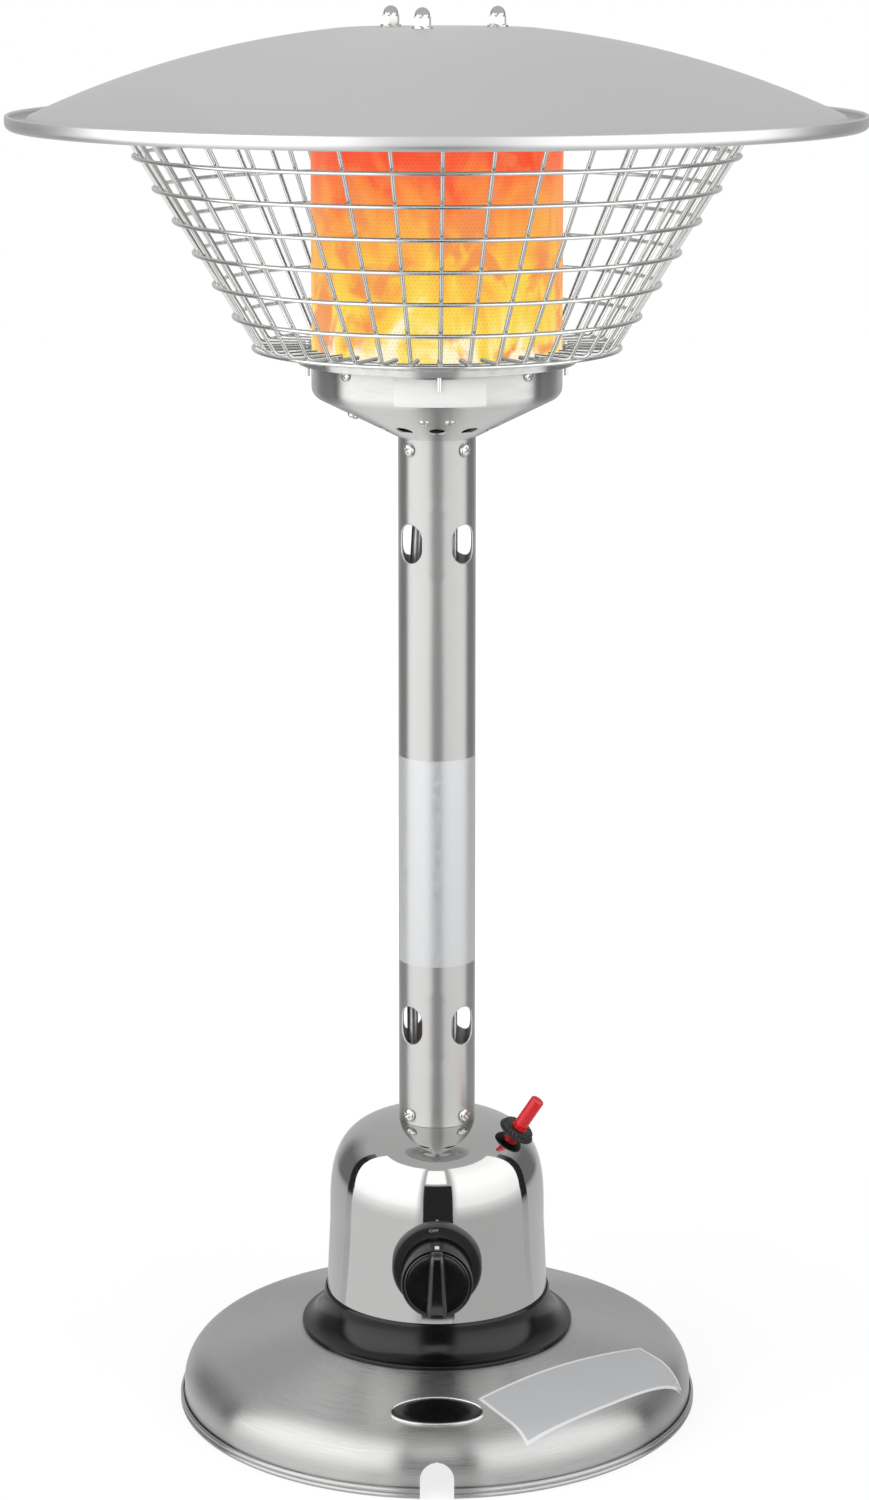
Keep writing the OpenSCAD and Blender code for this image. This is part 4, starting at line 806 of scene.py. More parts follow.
def flange_shell(s):
    """Flange: a plate with a rounded, turned-down edge, and a ring that rises into the emitter and hangs in
    the bowl with a ledge at its foot, as one closed outline turned round the axis."""
    low, high = level("burner_flange")
    ring, edge, bend, ledge, t = 77.35, reach("burner_flange"), 2, 6, s["sheet"]
    lip = FLANGE_TOP - 5.5
    corner = (edge - bend, FLANGE_TOP - bend)
    return turned(np.vstack((
        [[ring - t, high], [ring, high], [ring, FLANGE_TOP]],
        line((ring, FLANGE_TOP), (edge - bend, FLANGE_TOP), 4), arc(corner, bend, 80, 0, 7),
        [[edge, lip + 0.3], [edge - 0.3, lip], [edge - t, lip]], arc(corner, bend - t, 0, 90, 5),
        [[ring, FLANGE_TOP - t], [ring, low], [ring - ledge, low], [ring - ledge, low + t],
         [ring - t, low + t]])), count=WIDE_TURNS)


def emitter_shell(s):
    """Emitter screen: a straight tube of thin sheet."""
    return turned(np.vstack(tube_faces(s["emitter_radius"], 1, *level("emitter_screen"), 12)),
                  count=WIDE_TURNS)


# The rings of the guard stand on a cone; their centres, and the centre line of the wires' floor
GUARD_FLARE, GUARD_HEIGHT = 85.2, 139.6
GUARD_LEAN = math.radians(31.4)
# Distance between the centres of two wires of the solid that touch
WIRE_STEP = 3.05
INNER_RING_R, INNER_RING_Z = 85.2, 687.69
GUARD_FLOOR = INNER_RING_Z + WIRE_STEP
LOW_RING_R, LOW_RING_Z = 114.8, GUARD_FLOOR - 0.8
WIRE_SIDES = 12


def guard_wire_shell(s):
    """Upright guard wires: a straight floor, a bend and a leaning upright in one plane through the axis,
    swept with a round section. Four of them start as a pin that drops through the flange."""
    count, bend, floor_r, pin_r, pin_bend, first_turn = s["wire_count"], 6, 83.7, 81, 3, 1
    rise = np.pi / 2 - GUARD_LEAN
    upright = np.array((math.sin(GUARD_LEAN), math.cos(GUARD_LEAN)))
    pin_low, wire_top = level("guard_wires")
    top = wire_top - s["wire"] / 2 * math.sin(GUARD_LEAN)
    # The upright's centre line lies a step inside the rings, and cuts the floor at the corner
    low_r = LOW_RING_R - WIRE_STEP * math.cos(GUARD_LEAN)
    low_z = LOW_RING_Z + WIRE_STEP * math.sin(GUARD_LEAN)
    corner = low_r + (GUARD_FLOOR - low_z) * math.tan(GUARD_LEAN)
    bend_centre = (corner - bend * math.tan(rise / 2), GUARD_FLOOR + bend)
    curve = arc(bend_centre, bend, -90, -90 + math.degrees(rise), 9)
    end = curve[-1] + upright * (top - curve[-1, 1]) / upright[1]
    common = np.vstack((curve, line(curve[-1], end, 10)))
    floor = (floor_r, GUARD_FLOOR)
    plain = np.vstack(([floor], line(floor, curve[0], 3)[:-1], common))
    pin_centre = (pin_r + pin_bend, GUARD_FLOOR - pin_bend)
    pin = np.vstack(([[pin_r, pin_low]], arc(pin_centre, pin_bend, 180, 90, 7), common))
    number = np.arange(count)
    pinned = number % (count // 4) == 0
    shells = []
    for path, chosen in ((plain, number[~pinned]), (pin, number[pinned])):
        flat = np.column_stack((np.zeros(len(path)), -path[:, 0], path[:, 1]))
        wire = swept(flat, s["wire"] / 2, WIRE_SIDES, (1, 0, 0))
        turns = spins(np.radians(first_turn + 360 / count * chosen))
        shells.append(copies(wire, turns, np.zeros((len(turns), 3))))
    return join(*shells)


def guard_ring_shell(s):
    """Guard rings: circles of wire, the inner one on the flange and the others up a cone outside the
    uprights."""
    share = np.linspace(0, 1, s["ring_count"])
    radii = np.concatenate(([INNER_RING_R], LOW_RING_R + GUARD_FLARE * share))
    heights = np.concatenate(([INNER_RING_Z], LOW_RING_Z + GUARD_HEIGHT * share))
    circles = [round_axis(r, full_circle(TURNS), z) for r, z in zip(radii, heights)]
    return join(*[swept(path, s["wire"] / 2, WIRE_SIDES, (0, 0, 1), True) for path in circles])


def hood_shell(s):
    """Hood: flat top, cap of a sphere, step into a gutter, upturned lip and rolled edge, turned round the
    axis. A parabola blends the top into the cap, and the step falls by 3 d^2 - 2 d^3."""
    top, radius, flat, soft, t = 887.84, 594, 58, 4, 1.0
    gutter_wide, step_wide, step_deep, lip_high, lip_bend, roll = 11, 7, 8, 7, 3.5, 1.3
    centre = top - math.sqrt(radius ** 2 - flat ** 2)
    lip = s["hood_radius"] - t
    gutter = lip - gutter_wide
    a = np.linspace(math.asin((flat + soft) / radius), math.asin((gutter - soft) / radius), 60)
    cap = np.column_stack((radius * np.sin(a), centre + radius * np.cos(a)))
    low = cap[-1, 1] - step_deep
    b = np.linspace(0, 1, 7)[1:-1, None]
    blend = (1 - b) ** 2 * (flat - soft, top) + 2 * b * (1 - b) * (flat, top) + b ** 2 * cap[0]
    d = np.linspace(0, 1, 8)[1:-1]
    step = np.column_stack((cap[-1, 0] + step_wide * d, cap[-1, 1] - step_deep * (3 * d ** 2 - 2 * d ** 3)))
    outer = np.vstack(([[0, top], [flat - soft, top]], blend, cap, step,
                       line((gutter + step_wide - soft, low), (lip - lip_bend, low), 2),
                       arc((lip - lip_bend, low + lip_bend), lip_bend, -85, 0, 8),
                       [[lip, low + lip_high - 2 * roll]]))
    start = -math.degrees(math.acos(1 - t / roll))
    edge = arc((s["hood_radius"] - roll, low + lip_high), roll, start, -360, 20)
    return turned(np.vstack((outer, edge, beside(outer, t)[::-1])), count=MIRROR_TURNS)


def hex_radius(angle, across):
    """Radius of a hexagon of the given half width at an angle: half width / cos of the angle from a flat's
    middle."""
    return across / np.cos((angle + np.pi / 6) % (np.pi / 3) - np.pi / 6)


def acorn_shell():
    """Acorn nut: a hexagon whose corners are turned off by a cone of 30 degrees, with a dome on it."""
    half, high, dome, tall, bore = 4.8, 6.2, 4.7, 11.8, 3.05
    a = full_circle(ACORN_TURNS)
    z = np.concatenate((np.linspace(0, 1, 5), np.linspace(1.5, high, 8)))[:, None]
    cone = half + 0.25 + np.minimum(z, high - z) / math.tan(math.radians(30))
    side = np.minimum(hex_radius(a, half), cone)
    hexagon = grid(side * np.cos(a), side * np.sin(a), z)
    t = np.radians(np.linspace(0, 90, 12))
    cap = np.vstack(([[dome, high]], np.column_stack((dome * np.cos(t), tall - dome + dome * np.sin(t)))))
    ring = grid(dome * np.cos(a), dome * np.sin(a), high)
    hole = round_axis(bore, a, 0)
    return join(surface(hexagon), turned(cap, False, ACORN_TURNS), surface(np.stack((hexagon[-1], ring))),
                surface(np.stack((hole, hexagon[0]))))


# The knob's own directions as columns, its axis, its back, its face and the front of its bezel
KNOB_FRAME = np.array([[1, 0, 0], [0, 0, -1], [0, 1, 0]], float)
KNOB_AXIS = np.array((0, 0, 113.0))
KNOB_BACK = 80.16
KNOB_FACE = KNOB_BACK + 23
BEZEL_FRONT = 74.56
# Radius of the hole for the valve in the dome and the bezel, and radii of the bezel's hollow
VALVE_HOLE = 9
DISH_IN, DISH_OUT = 16, 26.6


def on_knob_axis(shell):
    """A shell made with +Z towards the front and +Y up, moved to the axis of the knob."""
    points, faces = shell
    return points @ KNOB_FRAME.T + KNOB_AXIS, faces


def knob_shell(s):
    """Knob: a turned cup with a soft edge and a shallow dish, and a tapered grip. The grip's section is a
    superellipse, its width falls from foot to tip, and its height fades at both ends."""
    back, face, r, bore, hub = KNOB_BACK, KNOB_FACE, s["knob_radius"], 3.05, 7
    cup = turned(np.vstack((
        [[bore, back + 1], [hub, back + 1], [hub, face - 4], [r - 2, face - 4], [r - 2, back]],
        arc((r - 0.5, back + 0.5), 0.5, -90, 0, 4), line((r, back + 0.5), (r, face - 1.6), 4),
        arc((r - 0.8, face - 1.6), 0.8, 8, 90, 6), line((r - 0.8, face - 0.8), (r - 2, face - 0.8), 2),
        arc((r - 2.7, face - 0.7), 0.7, 0, 90, 6), line((r - 2.7, face), (r - 5, face - 0.35), 3),
        line((r - 5, face - 0.35), (0, face - 0.5), 4))), False, MID_TURNS)
    foot_half, taper, grip_high, sunk, power = 7.2, 2.6, 7, 1.5, 0.42
    along = np.sin(np.radians(np.linspace(-90, 90, 49)))[:, None]
    v = np.radians(np.linspace(0, 180, 41))
    half = foot_half - taper * (along + 1) / 2
    fade = np.clip(1 - np.abs(along) ** 6, 0, 1) ** (1 / 3)
    half = half * np.clip(1 - np.abs(along) ** 14, 0, 1) ** (1 / 4)
    x = half * np.sign(np.cos(v)) * np.abs(np.cos(v)) ** power * (1 - 0.1 * np.sin(v))
    z = face - sunk + (sunk + grip_high * fade) * np.abs(np.sin(v)) ** power
    return on_knob_axis(join(cup, surface(grid(x, along * (r - 0.9), z), False, False)))


def bezel_dish(r):
    """Depth of the bezel's face at a radius: a straight rise to the rim, hollowed by half a sine wave."""
    rim_drop, rise, hollow = 0.15, 0.85, 1.7
    share = np.clip((r - DISH_IN) / (DISH_OUT - DISH_IN), 0, 1)
    return BEZEL_FRONT - rim_drop - rise * (1 - share) - hollow * np.sin(np.pi * share)


def bezel_shell(s):
    """Bezel: a hollowed ring turned round the knob's axis. Its back follows the wall of the dome: at (x, z)
    it lies at the depth sqrt(R(z)^2 - x^2) in front of the heater's axis, plus a small gap."""
    r, inset, gap, back_r = s["bezel_radius"], BEZEL_FRONT - 3, 0.16, 18
    dish = np.linspace(DISH_IN, r - 1.8, 16)
    profile = np.vstack(([[VALVE_HOLE, inset], [VALVE_HOLE, BEZEL_FRONT - 1.6],
                          [VALVE_HOLE + 0.6, BEZEL_FRONT - 1]], np.column_stack((dish, bezel_dish(dish))),
                         arc((r - 1.1, BEZEL_FRONT - 0.75), 0.75, 100, 20, 6), [[r, BEZEL_FRONT - 1.4]]))
    a = full_circle(MID_TURNS)
    radius = np.concatenate((profile[:, 0], [r, back_r, VALVE_HOLE, VALVE_HOLE]))[:, None]
    x, y = radius * np.sin(a), radius * np.cos(a)
    back = np.sqrt(np.maximum(dome_wall(s, KNOB_AXIS[2] + y) ** 2 - x ** 2, 0)) + gap
    front = np.broadcast_to(profile[:, 1:], (len(profile), MID_TURNS))
    depth = np.vstack((front, back[len(profile):-1], np.full((1, MID_TURNS), inset)))
    return on_knob_axis(surface(grid(x, y, depth)))


def pointer_shell(s):
    """Printed pointer on the flank of the knob: a strip of the cylinder about its axis, at the top."""
    r, half_degrees, back, front = s["knob_radius"], 3.4, 96.0, 101.3
    a = np.radians(np.linspace(-half_degrees, half_degrees, 9))[:, None]
    depth = np.linspace(back, front, 7)
    points = grid(r * np.sin(a), r * np.cos(a), depth)
    return on_knob_axis(plate_on(points, grid(np.sin(a), np.cos(a), 0 * depth), 0.06))


# Where the axis of the igniter leaves the dome, its direction, and the bore and top of its nut
IGNITER_AT = np.array((48.864, -17.785, 180.67))
IGNITER_AXIS = np.array((0.510417, -0.185777, 0.83962))
NUT_BORE = 5.55
NUT_TOP = 8.5


def on_igniter(shell):
    """A shell made on +Z, moved onto the axis of the igniter."""
    points, faces = shell
    return points @ axis_frame(IGNITER_AXIS, (0, 1, 0)).T + IGNITER_AT, faces


def nut_shell():
    """Collar nut of the igniter: a washer face and a ribbed grip, r = R + rib cos(24 a) on the grip."""
    foot, washer_r, rib_high, ribs = 3.5, 11.2, 0.3, 24
    a = full_circle(TURNS)
    profile = np.vstack(([[NUT_BORE, foot], [washer_r, foot]], arc((washer_r, 4.3), 0.8, -90, 40, 6),
                         [[10.9, 5.2], [10.4, 5.5], [10.2, 7.4], [9.6, 8.2], [8.4, NUT_TOP],
                          [NUT_BORE, NUT_TOP]]))
    rib = np.where((profile[:, 1] > 5.3) & (profile[:, 0] > 9), rib_high, 0)[:, None]
    radius = profile[:, :1] + rib * np.cos(ribs * a)
    return on_igniter(surface(grid(radius * np.cos(a), radius * np.sin(a), profile[:, 1:]), True))


def button_shell(s):
    """Igniter button: a round rod with a soft top edge and a shallow dish in its end."""
    r, top, foot, soft = s["button_radius"], 31, -26, 0.7
    profile = np.vstack(([[0, foot], [r, foot]], line((r, foot), (r, top - soft), 6),
                         arc((r - soft, top - soft), soft, 0, 100, 7),
                         [[r - 1.6, top - 0.35], [0, top - 0.45]]))
    return on_igniter(turned(profile, False, SMALL_TURNS))


def barrel_shell():
    """Threaded barrel of the igniter: the visible neck, its thread as rings 1 mm apart, and the body."""
    bore, thread_r, thread_deep, thread_low, body_r, foot = 4.55, 5.3, 0.2, -2.9, 8.5, -52
    z = np.linspace(thread_low, 8.2, 89)
    thread = np.column_stack((thread_r + thread_deep * np.cos(2 * np.pi * z), z))
    profile = np.vstack(([[bore, -3.9], [bore, NUT_TOP], [5.2, NUT_TOP]], thread[::-1],
                         [[body_r, thread_low], [body_r, foot], [bore, foot]]))
    return on_igniter(turned(profile, True, SMALL_TURNS))


def rounded(route, times):
    """A route with its corners cut, each cut leaving points at a quarter and three quarters of every side."""
    for _ in range(times):
        near, far = 0.75 * route[:-1] + 0.25 * route[1:], 0.25 * route[:-1] + 0.75 * route[1:]
        route = np.vstack((route[:1], np.stack((near, far), axis=1).reshape(-1, 3), route[-1:]))
    return route


def plate_on(points, normals, thickness):
    """Closed plate: the grid of points lifted by the thickness, a copy just under the surface, and a rim."""
    sunk = 0.05
    rows, columns = points.shape[:2]
    flat = np.stack((points + thickness * normals, points - sunk * normals))
    top = grid_faces(rows, columns, False, False)
    index = np.arange(rows * columns).reshape(rows, columns)
    rim = np.concatenate((index[0], index[1:, -1], index[-1, -2::-1], index[-2:0:-1, 0]))
    ahead = np.roll(rim, -1)
    side = np.stack((rim, rim + rows * columns, ahead + rows * columns, ahead), axis=-1)
    return flat.reshape(-1, 3), np.vstack((top, top[:, ::-1] + rows * columns, side))


def on_base_cone(s, x, y):
    """Points and normals of the base at (x, y): the cone that falls from the seat, over the round shoulder
    outside."""
    r = np.hypot(x, y)
    edge, low = shoulder_centre(s)
    beyond = r > edge + SHOULDER * math.sin(BASE_SLOPE)
    lean = np.where(beyond, np.arcsin(np.clip((r - edge) / SHOULDER, -1, 1)), BASE_SLOPE)
    z = np.where(beyond, low + SHOULDER * np.cos(lean), SEAT - (r - SLOPE_R) * math.tan(BASE_SLOPE))
    return grid(x, y, z), grid(x / r * np.sin(lean), y / r * np.sin(lean), np.cos(lean))


def curve_through(points, u):
    """The parabola through three points, at shares u of the way from the first to the last."""
    u = u[..., None]
    return points[0] * (1 - u) * (1 - 2 * u) + points[1] * 4 * u * (1 - u) + points[2] * u * (2 * u - 1)


# Ends and middles of the long edges of the base's label, the inner and the outer one
LABEL_NEAR = np.array([[25.6, -116.2], [82.0, -66.5], [131.7, -25.2]])
LABEL_FAR = np.array([[55.3, -151.0], [111.0, -104.0], [158.2, -48.5]])
# Length of that label as a multiple of its width
LABEL_ASPECT = 2.6


def base_label_shell(s, margin, lift):
    """Plain label on the base: a patch between two parabolas, mixed linearly, laid onto the slope and
    shoulder. The margin, as a share of the label's length, leaves a border free."""
    side = LABEL_ASPECT * margin
    u, v = np.meshgrid(np.linspace(margin, 1 - margin, 49), np.linspace(side, 1 - side, 25), indexing="ij")
    flat = curve_through(LABEL_NEAR, u) * (1 - v[..., None]) + curve_through(LABEL_FAR, u) * v[..., None]
    return plate_on(*on_base_cone(s, flat[..., 0], flat[..., 1]), lift)


def oval_on_base(s, rings):
    """An oval plate on the front of the base: ellipses about the badge's middle, each lifted off the cone.
    Every row of rings gives the half width, the half depth and the lift."""
    badge_r = 130
    wide, deep, lift = np.array(rings).T[..., None]
    a = full_circle(MID_TURNS)
    points, normal = on_base_cone(s, wide * np.cos(a), -badge_r + deep * np.sin(a))
    return surface(points + lift[..., None] * normal)


def badge_shells(s):
    """Bare badge: a half-round rim of even width round a slightly crowned oval field."""
    half_wide, half_deep, rim, bead_low, bead_high, sunk = 29.9, 14.4, 1.9, 0.6, 0.8, -0.05
    a = np.radians(np.linspace(180, 0, 9))
    inset = rim / 2 * (1 + np.cos(a))
    edge = np.column_stack((half_wide - inset, half_deep - inset, bead_low + bead_high * np.sin(a)))
    rings = np.vstack(([[half_wide, half_deep, sunk]], edge, [[half_wide - rim, half_deep - rim, sunk]]))
    share = np.array((1, 1, 0.97, 0.85, 0.6, 0.3, 0))
    crown = (0, 0.6, 0.75, 0.85, 1.0, 1.1, 1.15)
    field = np.column_stack((share * (half_wide - rim), share * (half_deep - rim), crown))
    return oval_on_base(s, rings), oval_on_base(s, field)


def wrapped_label(path, centre, half_degrees, lift):
    """A label bent round the axis: a profile of radii and heights over a span of angles, lifted off the
    wall."""
    a = np.radians(centre + np.linspace(-half_degrees, half_degrees, 49))
    ahead = unit(np.gradient(path, axis=0))
    normals = round_axis(ahead[:, 1:], a, -ahead[:, :1])
    return plate_on(round_axis(path[:, :1], a, path[:, 1:]), normals, lift)


# Operators

class HEATER_OT_base(bpy.types.Operator):
    """Makes the base plate, its plain label and its bare oval badge."""
    bl_idname = "heater.base"
    bl_label = "Base"

    def execute(self, context):
        s = sizes()
        make_piece("base_plate_pressing", base_shell(s), "base_steel", "base_plate")
        make_piece("base_label", base_label_shell(s, 0, 0.12), "base_film")
        make_piece("base_label_field", base_label_shell(s, 0.014, 0.16), "base_tint")
        rim, field = badge_shells(s)
        make_piece("badge_rim", rim, "badge_chrome")
        make_piece("badge_field", field, "enamel", "base_badge")
        return {"FINISHED"}


class HEATER_OT_dome(bpy.types.Operator):
    """Makes the polished dome and the black collar round its foot."""
    bl_idname = "heater.dome"
    bl_label = "Dome and collar"

    def execute(self, context):
        s = sizes()
        front = np.array((0, -70.0, KNOB_AXIS[2]))
        shell = punched(dome_shell(s), front, np.array((0, -1.0, 0)), VALVE_HOLE, 12)
        shell = punched(shell, IGNITER_AT, IGNITER_AXIS, 5.6, 8)
        make_piece("dome_shell", shell, "polished_steel", "dome_cover")
        make_piece("collar_moulding", collar_shell(s), "black_rubber", "collar_ring")
        return {"FINISHED"}


class HEATER_OT_post(bpy.types.Operator):
    """Makes the slotted post and the plain label on it."""
    bl_idname = "heater.post"
    bl_label = "Post"

    def execute(self, context):
        s = sizes()
        make_piece("post_with_slots", post_shell(s), "post_steel", "post_tube")
        label_low, label_top, half_degrees = 294.8, 429.4, 78
        path, _ = tube_faces(s["post_radius"], POST_WALL, label_low, label_top, 9)
        make_piece("post_label", wrapped_label(path, 0, half_degrees, 0.1), "film")
        return {"FINISHED"}


class HEATER_OT_bowl(bpy.types.Operator):
    """Makes the burner bowl with its vents, the flange and the plain label on the band."""
    bl_idname = "heater.bowl"
    bl_label = "Burner bowl and flange"

    def execute(self, context):
        s = sizes()
        make_piece("bowl_with_vents", bowl_shell(s), "bowl_steel", "burner_bowl")
        make_piece("flange_pressing", flange_shell(s), "bowl_steel", "burner_flange")
        label_low, label_top, turn, half_degrees = 661, 679, 1.5, 21
        path = bowl_paths(s)[1]
        path = path[(path[:, 1] > label_low) & (path[:, 1] < label_top)]
        make_piece("bowl_label", wrapped_label(path, turn, half_degrees, 0.12), "paper")
        return {"FINISHED"}


class HEATER_OT_screws(bpy.types.Operator):
    """Makes the pan-head screws of the post, the band and the funnel."""
    bl_idname = "heater.screws"
    bl_label = "Pan-head screws"

    def execute(self, context):
        s = sizes()
        inset, band_drop, gap, first_stop, next_stop = 6.5, 6.8, 0.05, 0.5, 1.1
        post, band = s["post_radius"] + gap, s["bowl_radius"] + gap
        funnel_turns, funnel_tilt = np.array((-8, 8, -66)), 90 - math.degrees(BOWL_SLOPE)
        # Each group: piece, CAD node, directions, tilt, radius and height, diameter, shank
        groups = (("lower_screws", "lower_post_screws", CORNERS, 0, (post, POST_LOW + inset), 5, 5),
                  ("upper_screws", "upper_post_screws", CORNERS, 0, (post, POST_TOP - inset), 5, 5),
                  ("band_rim_screws", "band_screws", CORNERS, 0, (band, BOWL_TOP - band_drop), 4, 7),
                  ("bracket_screws", "funnel_screws", funnel_turns, funnel_tilt, funnel(s, 57), 4, 6))
        for name, node, turns, tilt, (radius, height), diameter, shank in groups:
            # Each screw stops at its own turn, a fixed step from the last one
            stops = spins(first_stop + next_stop * np.arange(len(turns)))
            places = round_axis(radius, np.radians(turns), height)
            shell = copies(screw_shell(diameter, shank), wall_frames(turns, tilt) @ stops, places)
            make_piece(name, shell, "screw_steel", node, sharp=40)
        return {"FINISHED"}


class HEATER_OT_emitter(bpy.types.Operator):
    """Makes the glowing emitter screen."""
    bl_idname = "heater.emitter"
    bl_label = "Emitter screen"

    def execute(self, context):
        glow = make_piece("emitter_glow", emitter_shell(sizes()), "glowing_screen", "emitter_screen")
        # The steel round it keeps its own grey, as by daylight
        glow.visible_glossy = False
        return {"FINISHED"}


class HEATER_OT_guard(bpy.types.Operator):
    """Makes the upright wires and the rings of the guard."""
    bl_idname = "heater.guard"
    bl_label = "Wire guard"

    def execute(self, context):
        s = sizes()
        make_piece("guard_uprights", guard_wire_shell(s), "bright_wire", "guard_wires")
        make_piece("guard_hoops", guard_ring_shell(s), "bright_wire", "guard_rings")
        return {"FINISHED"}


class HEATER_OT_hood(bpy.types.Operator):
    """Makes the spun hood and its acorn nuts."""
    bl_idname = "heater.hood"
    bl_label = "Hood"

    def execute(self, context):
        make_piece("hood_spinning", hood_shell(sizes()), "spun_aluminium", "reflector_hood")
        stud_r, turns = 39.4, np.radians((107, 227, 347))
        places = round_axis(stud_r, turns, level("acorn_nuts")[0])
        make_piece("acorn_caps", copies(acorn_shell(), spins(turns), places), "screw_steel", "acorn_nuts")
        return {"FINISHED"}


class HEATER_OT_controls(bpy.types.Operator):
    """Makes the gas knob, its bezel, and the igniter with its nut and button."""
    bl_idname = "heater.controls"
    bl_label = "Knob and igniter"

    def execute(self, context):
        s = sizes()
        make_piece("knob_moulding", knob_shell(s), "knob_plastic", "control_knob",
                   "knob", 50)
        make_piece("bezel_moulding", bezel_shell(s), "bezel_plastic", "knob_bezel", sharp=50)
        make_piece("igniter_ribbed_nut", nut_shell(), "black_plastic", "igniter_nut")
        make_piece("igniter_barrel", barrel_shell(), "red_plastic", "igniter_body")
        make_piece("igniter_push", button_shell(s), "red_plastic", "igniter_button", body="button")
        return {"FINISHED"}


class HEATER_OT_marks(bpy.types.Operator):
    """Prints the pointer on the knob and the OFF mark on its bezel."""
    bl_idname = "heater.marks"
    bl_label = "Printed marks"

    def execute(self, context):
        make_piece("knob_pointer", pointer_shell(sizes()), "ink", body="knob")
        letters = bpy.data.curves.new("off_letters", "FONT")
        letters.body = "OFF"
        letters.size = 3.4
        letters.extrude = 0.02
        letters.align_x = letters.align_y = "CENTER"
        holder = bpy.data.objects.new("off_letters", letters)
        mesh = bpy.data.meshes.new_from_object(holder)
        bpy.data.objects.remove(holder)
        points = np.empty(len(mesh.vertices) * 3)
        mesh.vertices.foreach_get("co", points)
        # The letters lie on the hollow of the bezel, over the knob
        points = points.reshape(-1, 3) + (-2, 24.2, 0.05)
        points[:, 2] += bezel_dish(np.hypot(points[:, 0], points[:, 1]))
        points, _ = on_knob_axis((points, None))
        mesh.vertices.foreach_set("co", (points * MM).ravel())
        mesh.materials.clear()
        hand_over("off_mark", mesh, "ink")
        return {"FINISHED"}


class HEATER_OT_tubes(bpy.types.Operator):
    """Makes the gas tubes and the leads that show through the slots of the post."""
    bl_idname = "heater.tubes"
    bl_label = "Tubes and leads"

    def execute(self, context):
        # Heights of the jet and the pilot, and the foot of the igniter
        jet, pilot, pilot_x = 637.44, 673.64, 54
        port = np.array((22.33, -8.13, 137.01))

        def riser(x, y, high):
            return [(x, y, POST_LOW - 8), (x, y, POST_TOP - high)]

        def to_pilot(x, y, pilot_y):
            return [(x, y, POST_TOP - 6), (0.6 * pilot_x, pilot_y, POST_TOP + 14),
                    (pilot_x, pilot_y, pilot - 12), (pilot_x, pilot_y, pilot)]

        # Each tube: CAD node, radius, finish, and its route from the valve or igniter to the burner
        tubes = (
            ("gas_tube", 3.5, "soft_aluminium",
             [(-12, -41, 139), (-12, -41, 149), *riser(-16, 2, 45), (0, 0, jet - 14), (0, 0, jet)]),
            ("pilot_tube", 2, "soft_aluminium",
             [(11, -41, 138), (11, -41, 148), *riser(11, -2, 20), *to_pilot(11, -2, -12)]),
            ("thermocouple_lead", 1.6, "copper",
             [(0, -12, 127), (0, -12, 137), *riser(9, 9, 20), *to_pilot(9, 9, 0)]),
            ("igniter_lead", 1.6, "red_lead",
             [port, port - 6 * IGNITER_AXIS, port + (-14, 12, -8), (0, 15, port[2] + 22),
              (0, 15, POST_TOP - 20), *to_pilot(0, 15, 12)]))
        for node, radius, finish, route in tubes:
            path = rounded(np.array(route, float), 4)
            make_piece(node + "_drawn", swept(path, radius, 20, (1, 0, 0)), finish, node)
        return {"FINISHED"}


class HEATER_OT_solids(bpy.types.Operator):
    """Gives every CAD solid that still shows the finish of its slot."""
    bl_idname = "heater.solids"
    bl_label = "Finish of the plain solids"

    def execute(self, context):
        for part in frame["record"]["subparts"]:
            node = frame["nodes"][part["node"]]
            if not node.hide_render:
                node.data.materials.clear()
                node.data.materials.append(FINISHES[part["material_slot"]])
        return {"FINISHED"}


# Stage, in metres

def bare_finish(name):
    """A new material whose tree holds only its output."""
    made = bpy.data.materials.new(name)
    made.use_nodes = True
    tree = made.node_tree
    tree.nodes.remove(tree.nodes["Principled BSDF"])
    return made, tree, tree.nodes["Material Output"].inputs["Surface"]


def reflector_finish():
    """A panel that glows as brightly as the value kept at each of its points says."""
    made, tree, shown = bare_finish("reflector_panel")
    kept = add(tree, "ShaderNodeAttribute", attribute_name="brightness")
    glow = add(tree, "ShaderNodeEmission", {"Strength": kept.outputs["Fac"]}, {"Color": (1, 1, 1, 1)})
    tree.links.new(glow.outputs["Emission"], shown)
    return made


def floor_finish():
    """Matt pale floor: near the heater it takes its shadow, and further out it fades into the white
    background."""
    made, tree, shown = bare_finish("pale_floor")
    paint = add(tree, "ShaderNodeBsdfDiffuse", values={"Color": (0.82, 0.82, 0.82, 1)})
    white = add(tree, "ShaderNodeEmission", values={"Color": (1, 1, 1, 1), "Strength": 1.1})
    place = add(tree, "ShaderNodeTexCoord").outputs["Object"]
    away = add(tree, "ShaderNodeVectorMath", {0: place}, operation="LENGTH")
    fade = add(tree, "ShaderNodeMapRange", {"Value": away.outputs["Value"]},
               {"From Min": 0.2, "From Max": 1.3, "To Min": 0.75, "To Max": 1.0},
               interpolation_type="SMOOTHSTEP")
    seen = add(tree, "ShaderNodeLightPath").outputs["Is Camera Ray"]
    share = add(tree, "ShaderNodeMath", {0: fade.outputs["Result"], 1: seen}, operation="MULTIPLY")
    mixed = add(tree, "ShaderNodeMixShader", {0: share.outputs["Value"], 1: paint.outputs["BSDF"],
                                              2: white.outputs["Emission"]})
    tree.links.new(mixed.outputs["Shader"], shown)
    return made


def stage_object(name, points, faces, finish):
    """A mesh of the stage, which isn't part of the heater."""
    mesh = bpy.data.meshes.new(name)
    mesh.from_pydata(points, [], faces)
    mesh.materials.append(finish)
    made = bpy.data.objects.new(name, mesh)
    bpy.context.scene.collection.objects.link(made)
    return made


